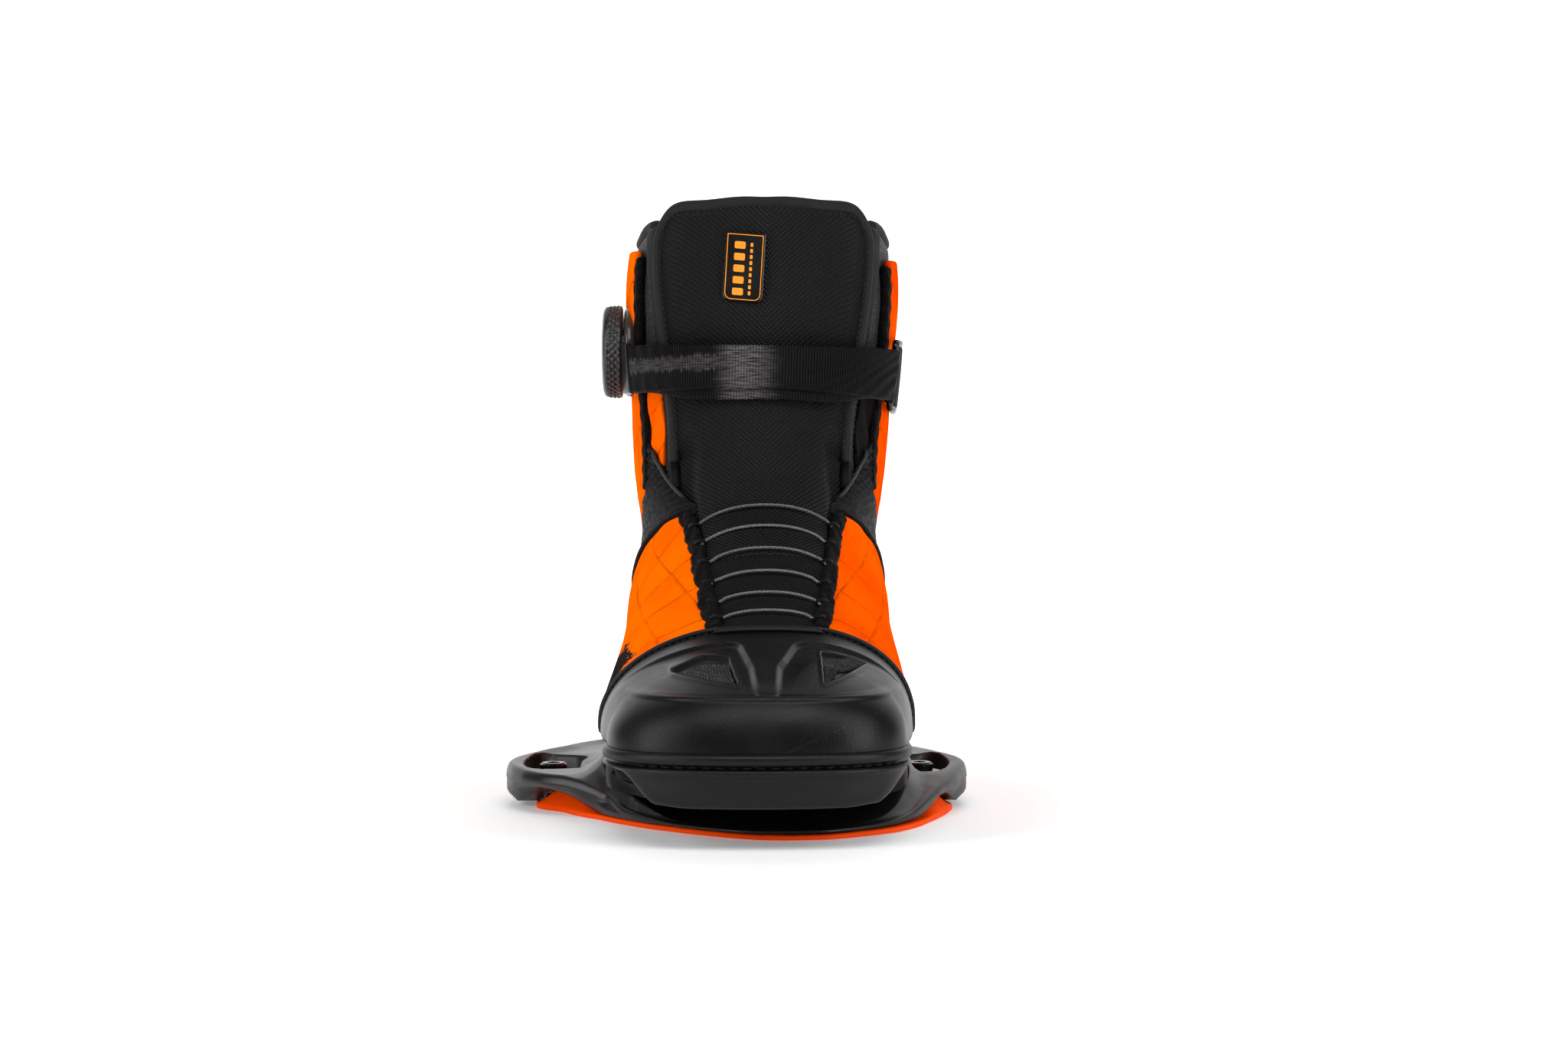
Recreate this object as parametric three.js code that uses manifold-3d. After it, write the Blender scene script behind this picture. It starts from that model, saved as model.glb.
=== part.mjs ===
// Wakeboard boot and binding for the right foot: mm, +Z up, toe toward -Y, lateral side toward -X.
// The origin is on the gasket's underside, halfway between the two mounting screws.
import * as THREE from "three";
import Module from "manifold-3d";

// ---- driving dimensions ----
const SCREW_RADIUS = 76.2; // half the 152.4 mm screw spacing
const SCREW_BORE = 6.6; // clearance for an M6 screw
const SLOT_SWING = 12; // degrees each side of the screw line
const GASKET_TOP = 1.8;
const FRAME_TOP = 16; // deck that the outsole rests on
const EAR_TOP = 18;
const BASIN_FLOOR = 10; // floor of the slot's recess
const WEDGE_TOP = 8; // blocks of the gasket under the ears' front
const GAP = 0.3;
const OUTSOLE_TOP = 24;
const UPPER_BOTTOM = 31;
const BUMPER_TOP = 37.2;
const TOE_Y = -105; // where the nose starts to round off
const NOSE = 38.5; // how far the nose reaches past TOE_Y
const SHELL = -5; // inner depth of the shell panels, measured from the boot's surface
const LINER_OUT = -6.6;
const LINER_IN = -11.6;
const HINGE_Y = 95; // ankle flex axis
const HINGE_Z = 100;
const CUFF_RISE = 36; // degrees the cuff's lower edge rises toward the front
const LOWER_RISE = 22; // degrees the lower boot's upper edge rises toward the front
const QUARTER_TOP = [14, 123, -0.53]; // y, z and slope of the quarters' upper edge
const DIAL = { y: 73, z: 187, outer: -58, knob: -51, radius: 20 };
const STRAP = { low: 166, high: 189, under: 1.9, over: 4.3 };
const LACE_RADIUS = 0.65;
const LEAD_RADIUS = 0.9;
const CUFF_FRONT = 68; // degrees round the leg where the cuff's side panels begin
// The frame's front edge is APRON.tip high; its slope reaches the deck at y APRON.back.
const APRON = { tip: 4, back: -64 };

const { sin, cos, abs, sign, max, min, PI, tan, sqrt, floor } = Math;
const rad = (degrees) => (degrees * PI) / 180;
const clamp = (x, low, high) => max(low, min(high, x));
const lerp = (a, b, t) => a + (b - a) * t;

const wasm = await Module();
wasm.setup();

const MATERIALS = {
  orange: ["#e8590c", 0.55, 0],
  black: ["#242427", 0.8, 0],
  rubber: ["#1b1b1d", 0.7, 0],
  plastic: ["#2a2a2d", 0.5, 0],
  gloss: ["#17171a", 0.2, 0],
  mesh: ["#3a3a3e", 0.9, 0],
  binding: ["#202024", 0.75, 0],
  red: ["#e8430f", 0.6, 0],
  grey: ["#5a5650", 0.4, 0],
  lace: ["#9a9aa0", 0.5, 0],
  steel: ["#c4c6c8", 0.3, 1],
  foam: ["#37373b", 0.9, 0],
};

const boot = new THREE.Group();

// ---- solids ----

// A manifold solid from a closed geometry, with repeated vertices welded and slivers dropped.
function solid(geometry) {
  const source = geometry.index ? geometry.toNonIndexed() : geometry;
  const p = source.getAttribute("position").array;
  const seen = new Map();
  const points = [];
  const index = [];
  for (let i = 0; i < p.length; i += 3) {
    const key = [p[i], p[i + 1], p[i + 2]].map((c) => Math.round(c * 2000)).join(",");
    if (!seen.has(key)) {
      seen.set(key, points.length / 3);
      points.push(p[i], p[i + 1], p[i + 2]);
    }
    index.push(seen.get(key));
  }
  const faces = [];
  let volume = 0;
  const at = (k) => new THREE.Vector3(points[3 * k], points[3 * k + 1], points[3 * k + 2]);
  for (let i = 0; i < index.length; i += 3) {
    const [a, b, c] = index.slice(i, i + 3);
    if (a === b || b === c || a === c) continue;
    faces.push([a, b, c]);
    volume += at(a).dot(at(b).cross(at(c)));
  }
  const triVerts = new Uint32Array(faces.flatMap(([a, b, c]) => (volume < 0 ? [a, c, b] : [a, b, c])));
  const vertProperties = new Float32Array(points);
  return new wasm.Manifold(new wasm.Mesh({ numProp: 3, vertProperties, triVerts }));
}

// Adds a named mesh to the boot.
function add(name, made, material) {
  const m = made.getMesh();
  const geometry = new THREE.BufferGeometry()
    .setAttribute("position", new THREE.BufferAttribute(new Float32Array(m.vertProperties), 3))
    .setIndex(new THREE.BufferAttribute(new Uint32Array(m.triVerts), 1));
  const [color, roughness, metalness] = MATERIALS[material];
  const mesh = new THREE.Mesh(geometry, new THREE.MeshStandardMaterial({ color, roughness, metalness }));
  mesh.name = name;
  boot.add(mesh);
}

const union = (solids) => solids.reduce((a, b) => a.add(b));

// A flat plate: an outline in X and Y, from one height to another.
function plate(outline, low, high, holes = []) {
  const shape = new THREE.Shape(outline.map(([x, y]) => new THREE.Vector2(x, y)));
  holes.forEach((h) => shape.holes.push(new THREE.Path(h.map(([x, y]) => new THREE.Vector2(x, y)))));
  const geometry = new THREE.ExtrudeGeometry(shape, { depth: high - low, bevelEnabled: false });
  return solid(geometry.translate(0, 0, low));
}

// A prism along Y from an outline in X and Z.
function prismY(outline, y0, y1) {
  const shape = new THREE.Shape(outline.map(([x, z]) => new THREE.Vector2(x, z)));
  const geometry = new THREE.ExtrudeGeometry(shape, { depth: y1 - y0, bevelEnabled: false });
  const swap = new THREE.Matrix4().set(1, 0, 0, 0, 0, 0, 1, y0, 0, 1, 0, 0, 0, 0, 0, 1);
  return solid(geometry.applyMatrix4(swap));
}

// A solid through a row of sections that share one number of points.
function loft(sections) {
  const triangles = [];
  const count = sections[0].length;
  const last = sections.length - 1;
  for (let i = 0; i < last; i++)
    for (let j = 0; j < count; j++) {
      const k = (j + 1) % count;
      const [a, b, c, d] = [sections[i][j], sections[i][k], sections[i + 1][k], sections[i + 1][j]];
      triangles.push(...a, ...b, ...c, ...a, ...c, ...d);
    }
  for (let j = 1; j + 1 < count; j++) {
    triangles.push(...sections[0][0], ...sections[0][j + 1], ...sections[0][j]);
    triangles.push(...sections[last][0], ...sections[last][j], ...sections[last][j + 1]);
  }
  const geometry = new THREE.BufferGeometry();
  geometry.setAttribute("position", new THREE.Float32BufferAttribute(triangles, 3));
  return solid(geometry);
}

// A prism along X from an outline in Y and Z.
function prismX(outline, x0, x1) {
  const shape = new THREE.Shape(outline.map(([y, z]) => new THREE.Vector2(y, z)));
  const geometry = new THREE.ExtrudeGeometry(shape, { depth: x1 - x0, bevelEnabled: false });
  const swap = new THREE.Matrix4().set(0, 0, 1, x0, 1, 0, 0, 0, 0, 1, 0, 0, 0, 0, 0, 1);
  return solid(geometry.applyMatrix4(swap));
}

// A turned body: radius and height pairs about an upright axis.
function turned(profile, sides) {
  const geometry = new THREE.LatheGeometry(profile.map(([r, h]) => new THREE.Vector2(r, h)), sides);
  return solid(geometry.rotateX(PI / 2));
}

const disc = (radius, low, high, sides = 28) =>
  turned([[0, low], [radius, low], [radius, high], [0, high]], sides);

// Turns a solid whose axis is upright so that it points toward -X.
const towardLateral = (made) => made.rotate([0, -90, 0]);

// A round or flat strand along a path.
function strand(points, section, steps) {
  const path = new THREE.CatmullRomCurve3(points.map((p) => new THREE.Vector3(...p)), false, "centripetal");
  const shape = new THREE.Shape(section.map(([x, y]) => new THREE.Vector2(x, y)));
  return solid(new THREE.ExtrudeGeometry(shape, { steps, extrudePath: path, bevelEnabled: false }));
}

const ring = (radius, sides) => Array.from({ length: sides }, (_, i) => {
  const a = (2 * PI * i) / sides;
  return [radius * cos(a), radius * sin(a)];
});

// ---- the boot's surface ----

// Sections from the ball of the foot, round the ankle, to the top of the leg:
// top or front point (y, z), bottom or back point (y, z), half width, centre x, level of the widest
// point (-1 bottom, 1 top), squareness of the top and of the bottom, sideways lean of the ridge.
const SECTIONS = [
  [-105, 69.5, -105, 31, 58, 8, -0.5, 2.3, 4, 4],
  [-85, 74, -85, 31, 61, 8, -0.55, 2.3, 4, 4.5],
  [-66, 78.5, -62, 31, 62.3, 8, -0.6, 2.25, 4, 5],
  [-46, 88.4, -35, 31, 63, 8, -0.65, 2.2, 4, 5],
  [-25, 101, -5, 31, 62, 8.3, -0.65, 2.2, 4, 4.5],
  [-6, 113, 28, 31, 60.5, 8.6, -0.62, 2.2, 4, 4],
  [8, 124, 64, 31, 59.5, 9, -0.55, 2.2, 3.8, 3],
  [15, 134, 101, 31.5, 59, 9.3, -0.4, 2.2, 3.2, 2],
  [19, 146, 139, 37, 57, 9.6, -0.2, 2.2, 2.5, 1],
  [21, 158, 153, 62, 54.5, 10, -0.08, 2.2, 2.2, 0],
  [22, 170, 149, 98, 54.5, 10.2, 0, 2.2, 2.2, 0],
  [22.5, 182, 143, 130, 56, 10.6, 0, 2.25, 2.2, 0],
  [22, 200, 141, 165, 58.2, 11, 0, 2.3, 2.2, 0],
  [20, 220, 143, 200, 59, 11.3, 0, 2.3, 2.2, 0],
  [17, 238, 147, 229, 57.5, 11.6, 0, 2.3, 2.2, 0],
  [14, 252, 150, 252, 55, 11.8, 0, 2.3, 2.2, 0],
];

// Smoothly interpolated section at s, where 0 is the first row.
function section(s) {
  const last = SECTIONS.length - 1;
  const i = clamp(floor(s), 0, last - 1);
  const t = clamp(s - i, 0, 1);
  const row = (k) => SECTIONS[clamp(k, 0, last)];
  return SECTIONS[0].map((_, c) => {
    const [a, b, d, e] = [row(i - 1)[c], row(i)[c], row(i + 1)[c], row(i + 2)[c]];
    return b + 0.5 * t * (d - a + t * (2 * a - 5 * b + 4 * d - e + t * (3 * (b - d) + e - a)));
  });
}

// Point of the boot at section s and angle v (0 top or front, 180 bottom or back, negative lateral),
// raised by a depth. Sections from -1 to 0 close the nose.
function surface(s, v, depth) {
  const nose = s < 0 ? sin((-s * PI) / 2) : 0;
  const [ty, tz, by, bz, half, centre, level, squareTop, squareBottom, lean] = section(max(s, 0));
  const reach = nose * (NOSE + depth);
  const pinch = (1 - nose ** 2.6) ** (1 / 2.2);
  const squash = (1 - nose ** 6) ** 0.4;
  const long = sqrt((ty - by) ** 2 + (tz - bz) ** 2);
  const [dy, dz] = [(ty - by) / long, (tz - bz) / long];
  const bottom = [by - dy * depth, bz - dz * depth];
  const height = (long + 2 * depth - 0.32 * reach) * squash;
  const a = rad(v);
  const power = 2 / (cos(a) >= 0 ? squareTop : squareBottom);
  const across = sign(sin(a)) * abs(sin(a)) ** power;
  const up = sign(cos(a)) * abs(cos(a)) ** power;
  const rise = (height / 2) * (1 + (up >= 0 ? level + (1 - level) * up : level + (1 + level) * up));
  const x = centre + (half + depth) * pinch * across + lean * pinch * max(0, cos(a)) ** 1.5;
  return [x, bottom[0] + dy * rise - reach, bottom[1] + dz * rise];
}

// Half the throat's opening, in degrees: where the tongue's edges run.
function throat(s) {
  if (s < 6.5) return lerp(15, 29, clamp((s - 2.1) / 4.4, 0, 1));
  if (s < 11) return lerp(29, 33, (s - 6.5) / 4.5);
  return lerp(33, 51, clamp((s - 11) / 4, 0, 1));
}

// A closed panel on the boot's surface between two depths; at(a, b) gives section and angle for a and b
// from 0 to 1.
function panel(at, deep, high, rows, columns, around = false) {
  const point = (i, j, depth) => {
    const [s, v] = at(i / rows, j / columns);
    return surface(s, v, typeof depth === "function" ? depth(i / rows, j / columns) : depth);
  };
  const triangles = [];
  const quad = (a, b, c, d) => triangles.push(...a, ...b, ...c, ...a, ...c, ...d);
  for (let i = 0; i < rows; i++)
    for (let j = 0; j < columns; j++) {
      quad(point(i, j, high), point(i + 1, j, high), point(i + 1, j + 1, high), point(i, j + 1, high));
      quad(point(i, j, deep), point(i, j + 1, deep), point(i + 1, j + 1, deep), point(i + 1, j, deep));
    }
  for (let j = 0; j < columns; j++) {
    quad(point(0, j, deep), point(0, j, high), point(0, j + 1, high), point(0, j + 1, deep));
    quad(point(rows, j, deep), point(rows, j + 1, deep), point(rows, j + 1, high), point(rows, j, high));
  }
  if (!around)
    for (let i = 0; i < rows; i++) {
      quad(point(i, 0, deep), point(i + 1, 0, deep), point(i + 1, 0, high), point(i, 0, high));
      quad(point(i, columns, deep), point(i, columns, high), point(i + 1, columns, high),
        point(i + 1, columns, deep));
    }
  const geometry = new THREE.BufferGeometry();
  geometry.setAttribute("position", new THREE.Float32BufferAttribute(triangles, 3));
  return solid(geometry);
}

const span = (s0, s1, v0, v1) => (a, b) => [lerp(s0, s1, a), lerp(v0, v1, b)];

// Section whose surface point at an angle lies at a height.
function sectionAt(z, v, low = 5, high = 15) {
  for (let k = 0; k < 30; k++) {
    const mid = (low + high) / 2;
    if (surface(mid, v, 0)[2] < z) low = mid;
    else high = mid;
  }
  return (low + high) / 2;
}

// A band between two heights, from angle v0 to v1.
function band(v0, v1, low, high, deep, raised, columns, rows = 1) {
  return panel((a, b) => {
    const v = lerp(v0, v1, b);
    return [sectionAt(lerp(low(v), high(v), a), v), v];
  }, deep, raised, rows, columns);
}

// The whole body inside the boot's surface at a depth, between two sections.
function solidAt(depth, s0, s1, rows, columns) {
  const rings = Array.from({ length: rows + 1 }, (_, i) => Array.from({ length: columns }, (_, j) =>
    surface(lerp(s0, s1, i / rows), (360 * j) / columns, depth)));
  return loft(rings);
}

// The wedge of free space at the ankle that lets the cuff flex: what is cut off each half.
const above = prismX(
  [[HINGE_Y, HINGE_Z - 3], [400, HINGE_Z - 3], [400, 400], [-400, 400],
    [-400, HINGE_Z - 3 + (HINGE_Y + 400) * tan(rad(LOWER_RISE))]], -200, 200);
const below = prismX(
  [[HINGE_Y, HINGE_Z + 3], [-400, HINGE_Z + 3 + (HINGE_Y + 400) * tan(rad(CUFF_RISE))], [-400, -300],
    [400, -300], [400, HINGE_Z + 3]], -200, 200);
const lower = (made) => made.subtract(above);
const cuff = (made) => made.subtract(below);
const quarterLine = (y) => QUARTER_TOP[1] + QUARTER_TOP[2] * (y - QUARTER_TOP[0]);
const overQuarters = (lift) => prismX(
  [[-300, quarterLine(-300) + lift], [150, quarterLine(150) + lift], [400, 60 + lift], [400, 400],
    [-300, 400]], -200, 200);

// ---- sole ----

// Half width of the sole at y, and its centre.
function soleHalf(y, inset) {
  const nose = clamp((TOE_Y - y) / (NOSE - inset), 0, 1);
  const heel = clamp((y - 105) / (47 - inset), 0, 1);
  const knots = [[-105, 57], [-60, 60], [-20, 57], [40, 51], [105, 47]];
  let k = knots.findIndex(([ky]) => ky > y);
  if (k === 0) k = 1;
  if (k < 0) k = knots.length - 1;
  const t = clamp((y - knots[k - 1][0]) / (knots[k][0] - knots[k - 1][0]), 0, 1);
  const half = lerp(knots[k - 1][1], knots[k][1], t) - inset;
  return half * (1 - nose ** 2.6) ** (1 / 2.2) * (1 - heel ** 2.2) ** 0.5;
}
const soleCentre = (y) => 8 + clamp((y + 40) / 150, 0, 1);

// Outline of the sole between two y values, closed round the nose or heel when it reaches them.
function soleOutline(y0, y1, inset, count = 18) {
  const left = [];
  const right = [];
  for (let i = 0; i <= count; i++) {
    const t = (1 - cos((PI * i) / count)) / 2;
    const y = lerp(max(y0, TOE_Y - NOSE + inset), min(y1, 152 - inset), t);
    const half = soleHalf(y, inset);
    right.push([soleCentre(y) + half, y]);
    if (half > 0.01) left.unshift([soleCentre(y) - half, y]);
  }
  return [...right, ...left];
}

const tread = [];
for (let y = -96; y < 130; y += 28)
  tread.push(plate([[-70, y], [90, y], [90, y + 3], [-70, y + 3]], FRAME_TOP, FRAME_TOP + GAP + 1.8));
const outsole = plate(soleOutline(-200, 200, 0.8), FRAME_TOP + GAP, OUTSOLE_TOP);
add("outsole", outsole.subtract(union(tread)), "rubber");
const STEP_Y = -72; // the bumper wraps the toe in front of this line
add("midsole", union([
  plate(soleOutline(-200, STEP_Y + 1, 7), OUTSOLE_TOP + GAP, UPPER_BOTTOM - GAP),
  plate(soleOutline(STEP_Y + 0.5, 200, 1.2), OUTSOLE_TOP + GAP, UPPER_BOTTOM - GAP),
]), "rubber");
add("toe_bumper", plate(soleOutline(-200, STEP_Y, -1.6), OUTSOLE_TOP + GAP, BUMPER_TOP)
  .subtract(plate(soleOutline(-200, STEP_Y + 2, 4.9), OUTSOLE_TOP - 1, BUMPER_TOP + 1)), "rubber");
add("lasting_board", plate(soleOutline(-128, 45, 13, 14), UPPER_BOTTOM, UPPER_BOTTOM + 4.4), "foam");
const insole = plate(soleOutline(-125, 200, 14, 16), 42.9, 46.8);
add("insole", insole.intersect(solidAt(LINER_IN - 0.5, -1, 11, 14, 16)), "foam");

// ---- toe ----
const cap = panel(span(-1, 2, -117, 117), SHELL, 0, 8, 16);
const capLip = panel((a, b) => [lerp(1.75, 2, a), lerp(-18, 18, b)], -0.1, 2, 1, 6);
add("toe_cap", cap.add(capLip).trimByPlane([0, 0, 1], BUMPER_TOP + GAP), "black");
for (const [name, side] of [["lateral", -1], ["medial", 1]]) {
  const vent = (a, b) => [lerp(0.45, 1.05, a) + 0.15 * b, side * lerp(17, 52, b)];
  add(name + "_toe_vent", panel(vent, 0.3, 1.2, 2, 5), "mesh");
}
add("toe_spine", panel(span(-0.42, 1.6, -9, 9), 0.3, 1.5, 6, 2), "black");

// ---- lower upper ----
for (const [name, side] of [["lateral", -1], ["medial", 1]]) {
  const whole = panel((a, b) => {
    const s = lerp(2.06, 9.4, a);
    return [s, side * lerp(throat(s) + 0.4, 118, b)];
  }, SHELL, 0, 11, 7);
  add(name + "_quarter", whole.subtract(overQuarters(0)), "orange");
  const raised = panel((a, b) => {
    const s = lerp(5.2, 11.5, a);
    return [s, side * lerp(throat(s) + 0.4, 118, b)];
  }, SHELL, 0.6, 10, 10);
  const underQuarterLine = prismX(
    [[-300, quarterLine(-300) + GAP], [400, quarterLine(400) + GAP], [400, -300], [-300, -300]], -200, 200);
  add(name + "_gusset", lower(raised.subtract(underQuarterLine)), "black");
  const stay = (a, b) => {
    const s = lerp(2.12, 6.35, a);
    return [s, side * (throat(s) + lerp(0.8, 8.5, b))];
  };
  add(name + "_eyestay", panel(stay, GAP, 2, 10, 1).subtract(overQuarters(-0.4)), "black");
}
const counter = panel(span(5.6, 10.6, 120.5, 239.5), SHELL, 0, 7, 10);
add("heel_counter", lower(counter), "rubber");
add("heel_stabiliser", lower(panel(span(7.9, 10.4, 150, 210), 1, 2.8, 4, 5)), "plastic");
add("tongue_lower", lower(panel((a, b) => {
  const s = lerp(2.08, 8.6, a);
  const wide = throat(s) - 0.5;
  return [s, lerp(-wide, wide, b)];
}, SHELL, -0.6, 10, 8)), "black");
add("liner_lower", lower(panel(span(-1, 11, -180, 180), LINER_IN, LINER_OUT, 14, 16, true)), "foam");

// ---- laces ----

// Rows of the lace from the toe end up: section at the sides; the middle of each row sits a little lower.
const ROWS = [2.42, 3.0, 3.62, 4.3, 5.02, 5.75];
const LACE_LIFT = 1.1;
const laceEnd = (k, side) => [ROWS[k], side * (throat(ROWS[k]) - 2.8)];
const lacePath = [];
for (let k = ROWS.length - 1; k >= 0; k--) {
  const from = (ROWS.length - 1 - k) % 2 ? 1 : -1;
  for (let j = 0; j <= 4; j++) {
    const side = from * (1 - j / 2);
    const [s, v] = laceEnd(k, side);
    lacePath.push(surface(s - 0.05 * (1 - side * side), v, LACE_LIFT));
  }
  if (k > 0)
    lacePath.push(surface((ROWS[k] + ROWS[k - 1]) / 2, -from * (throat(ROWS[k]) - 2.2), LACE_LIFT));
}
add("lace", strand(lacePath, ring(LACE_RADIUS, 4), 64), "lace");
for (const [name, side] of [["lateral", -1], ["medial", 1]]) {
  const strip = panel((a, b) => {
    const s = lerp(2.25, 5.95, a);
    return [s, side * (throat(s) + lerp(1.6, 4, b))];
  }, 2.4, 3.4, 9, 1);
  const tab = (s) => (a, b) => [s - 0.13 + 0.26 * a, side * (throat(s) + lerp(-4.6, 2.5, b))];
  const tabs = ROWS.map((s) => panel(tab(s), 2.4, 3.2, 1, 1));
  add(name + "_lace_loops", union([strip, ...tabs]), "binding");
  const lead = [5.9, 6.4, 6.9, 7.4, 7.9, 8.4, 9, 9.6, 10.2].map((s, i) => {
    const t = i / 8;
    return surface(s, side * lerp(throat(5.9) + 6, 74, t), 3.4);
  });
  add(name + "_lace_lead", lower(strand(lead, ring(LEAD_RADIUS, 6), 16)), "lace");
}

// ---- cuff ----
const CUFF_TOP = { lateral: 230, medial: 226 };
for (const [name, side] of [["lateral", -1], ["medial", 1]]) {
  const top = CUFF_TOP[name];
  const edge = (v) => top + 6 * clamp((abs(v) - 90) / 60, 0, 1);
  const whole = panel((a, b) => {
    const v = side * lerp(CUFF_FRONT, 148, b);
    return [lerp(8.6, sectionAt(edge(v), v), a), v];
  }, SHELL, 0, 10, 9);
  add(name + "_cuff_panel", cuff(whole), "orange");
}
const spineTop = (v) => 236.6 - 0.006 * (v - 180) ** 2;
add("rear_cuff_spine", cuff(panel((a, b) => {
  const v = lerp(149, 211, b);
  return [lerp(9.4, sectionAt(spineTop(v), v), a), v];
}, SHELL, 0.8, 10, 6)), "rubber");
// The collar is lower at the sides than at the back.
const collarTop = (v) => lerp(240, 252, clamp((min(v, 360 - v) - 105) / 50, 0, 1));
const RIM_BOTTOM = 237.2;
const collar = panel((a, b) => {
  const s = lerp(8.4, 15, a);
  const edge = throat(s) + 1.5;
  const v = lerp(edge, 360 - edge, b);
  return [min(s, sectionAt(collarTop(v), v) - 0.02 * (1 - a)), v];
}, LINER_IN, LINER_OUT, 9, 14);
const rim = panel((a, b) => {
  const edge = throat(14.4) + 1.5;
  const v = lerp(edge, 360 - edge, b);
  return [sectionAt(lerp(RIM_BOTTOM, collarTop(v), a), v), v];
}, LINER_OUT - 2, -1.5, 1, 14);
add("liner_collar", cuff(collar.add(rim)), "binding");
add("tongue_upper", cuff(panel((a, b) => {
  const s = lerp(8.6, 14.95, a);
  const wide = throat(s) - 0.5;
  return [s, lerp(-wide, wide, b)];
}, -7, 0.9, 9, 8)), "black");
add("tongue_badge", band(-14, 7, () => 208, () => 237.5, 1.25, 3.4, 3, 2), "gloss");
add("heel_pull_loop", strand([[11, 149, 216], [11, 157, 228], [11, 161, 244], [11, 157, 256],
  [11, 151, 249], [11, 152.2, 240]], [[-9, -0.8], [9, -0.8], [9, 0.8], [-9, 0.8]], 18), "binding");

// ---- strap ----
const strapLow = (v) => STRAP.low + 3.5 * (1 - abs(v) / 80) - 2 * (v / 80);
const strapHigh = (v) => STRAP.high - 1.2 * (v / 80);
add("strap_inner", band(-72, 66, (v) => strapLow(v) - 3.5, (v) => strapHigh(v) - 2,
  STRAP.under, STRAP.under + 1.9, 14), "black");
add("strap_outer", band(-62, 66, strapLow, strapHigh, STRAP.over - 0.1, STRAP.over + 2, 14), "black");

// ---- dial on the lateral side ----
const onDial = (made) => towardLateral(made).translate([0, DIAL.y, DIAL.z]);
const dialDepth = -DIAL.knob;
const spoolDeep = dialDepth - 2.4;
const housing = onDial(turned([[0, 30], [DIAL.radius - 1.2, 30], [DIAL.radius - 0.6, dialDepth - 2],
  [DIAL.radius - 2, dialDepth - 0.4], [0, dialDepth - 0.4]], 32));
const spoolWell = onDial(disc(12.5, spoolDeep - GAP, dialDepth + 1, 20));
const strapSpace = band(-76, 66, (v) => strapLow(v) - 4, (v) => strapHigh(v) + 0.4, -2,
  STRAP.over + 3.1, 10);
const legSpace = solidAt(0.35, 9, 14.6, 16, 36);
add("dial_housing", housing.subtract(spoolWell).subtract(legSpace).subtract(strapSpace).decompose()
  .reduce((a, b) => (a.volume() > b.volume() ? a : b)), "grey");
const spool = onDial(union([
  disc(12, spoolDeep, spoolDeep + 1.2, 20),
  disc(8, spoolDeep + 1, spoolDeep + 4, 16),
  disc(12, spoolDeep + 3.8, spoolDeep + 5, 20),
]));
add("dial_spool", spool, "grey");
const grip = [];
for (let i = 0; i < 14; i++) {
  const a = (2 * PI * i) / 14;
  grip.push(turned([[0, dialDepth - 1], [1.1, dialDepth - 1], [1.1, 70], [0, 70]], 4)
    .translate([(DIAL.radius + 0.35) * cos(a), (DIAL.radius + 0.35) * sin(a), 0]));
}
const face = -DIAL.outer;
const knob = turned([[0, dialDepth + 3], [13, dialDepth + 3], [13, dialDepth], [DIAL.radius, dialDepth],
  [DIAL.radius, face - 2.6], [DIAL.radius - 2, face - 0.6], [7, face - 0.6], [7, face - 2.2],
  [0, face - 2.2]], 28);
add("dial_knob", onDial(knob.subtract(union(grip))), "rubber");
const capProfile = [[0, face - 1.9], [6.6, face - 1.9], [6.6, face - 0.6], [5.6, face], [0, face]];
add("dial_cap", onDial(turned(capProfile, 20)), "grey");

// ---- buckle on the medial side ----
const buckleRing = band(67.5, 92, (v) => strapLow(v) - 5, (v) => strapHigh(v) + 5.5, STRAP.under,
  STRAP.under + 2.6, 6);
const buckleHole = band(70.5, 88.5, (v) => strapLow(v) - 2, (v) => strapHigh(v) + 2.5, -3,
  STRAP.over + 6, 5);
add("buckle_ring", buckleRing.subtract(buckleHole), "steel");
add("buckle_plate", band(92.6, 108, (v) => strapLow(v) - 1.5, (v) => strapHigh(v) + 1.5, GAP, 3.4, 5),
  "plastic");
add("strap_end_tab", band(-68.5, -63, (v) => strapLow(v) + 0.5, (v) => strapHigh(v) - 0.5, STRAP.over - 0.1,
  STRAP.over + 2.6, 3), "plastic");

// ---- base ----
// Outlines run from the front over the medial side; the front of the base leans to the medial side.
const REAR = [[92.5, 8], [86, 24], [74, 50], [60, 74], [44, 96], [24, 109], [0, 113]];
const mirrored = (outline) => outline.map(([x, y]) => [-x, y]).reverse();
const FRAME_REAR = [...REAR, ...mirrored(REAR).slice(1)];
const FRAME_OUTLINE = [[20, -110], [36, -107], [49, -98], [62, -85.5], [70.5, -70], [71, -60], [76, -44],
  [81, -27], [85, -13], [95.5, -6], ...FRAME_REAR, [-95.5, -6], [-78, -12], [-71, -20], [-61, -32],
  [-51, -46], [-43, -68.5], [-25, -87], [-10.5, -99.5], [3, -106.5], [10, -109]];
const GASKET_REAR = [[89, 0], [86, 12], [80, 26], [70, 50], [57, 74], [42, 95], [22, 108], [0, 112]];
const GASKET_OUTLINE = [[20, -111.5], [37, -108.5], [50, -99.5], [63, -87], [72, -73], [77, -62], [82, -46],
  [86, -32], [90, -17], ...GASKET_REAR, ...mirrored(GASKET_REAR).slice(1), [-88, -9], [-82, -18], [-71, -29],
  [-55.5, -51], [-44, -67.5], [-26, -86], [-11.5, -98.5], [2, -107.5], [10, -110.5]];
const EAR_FRONT = {
  medial: [[58, -62], [66, -72], [72, -73], [78.5, -60], [83, -47], [87, -36], [90, -26], [94, -16]],
  lateral: [[-50, -56], [-56, -54.5], [-63, -51], [-72, -47], [-80, -41.5], [-86.5, -33], [-91.5, -22],
    [-94.5, -12]],
};
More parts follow.
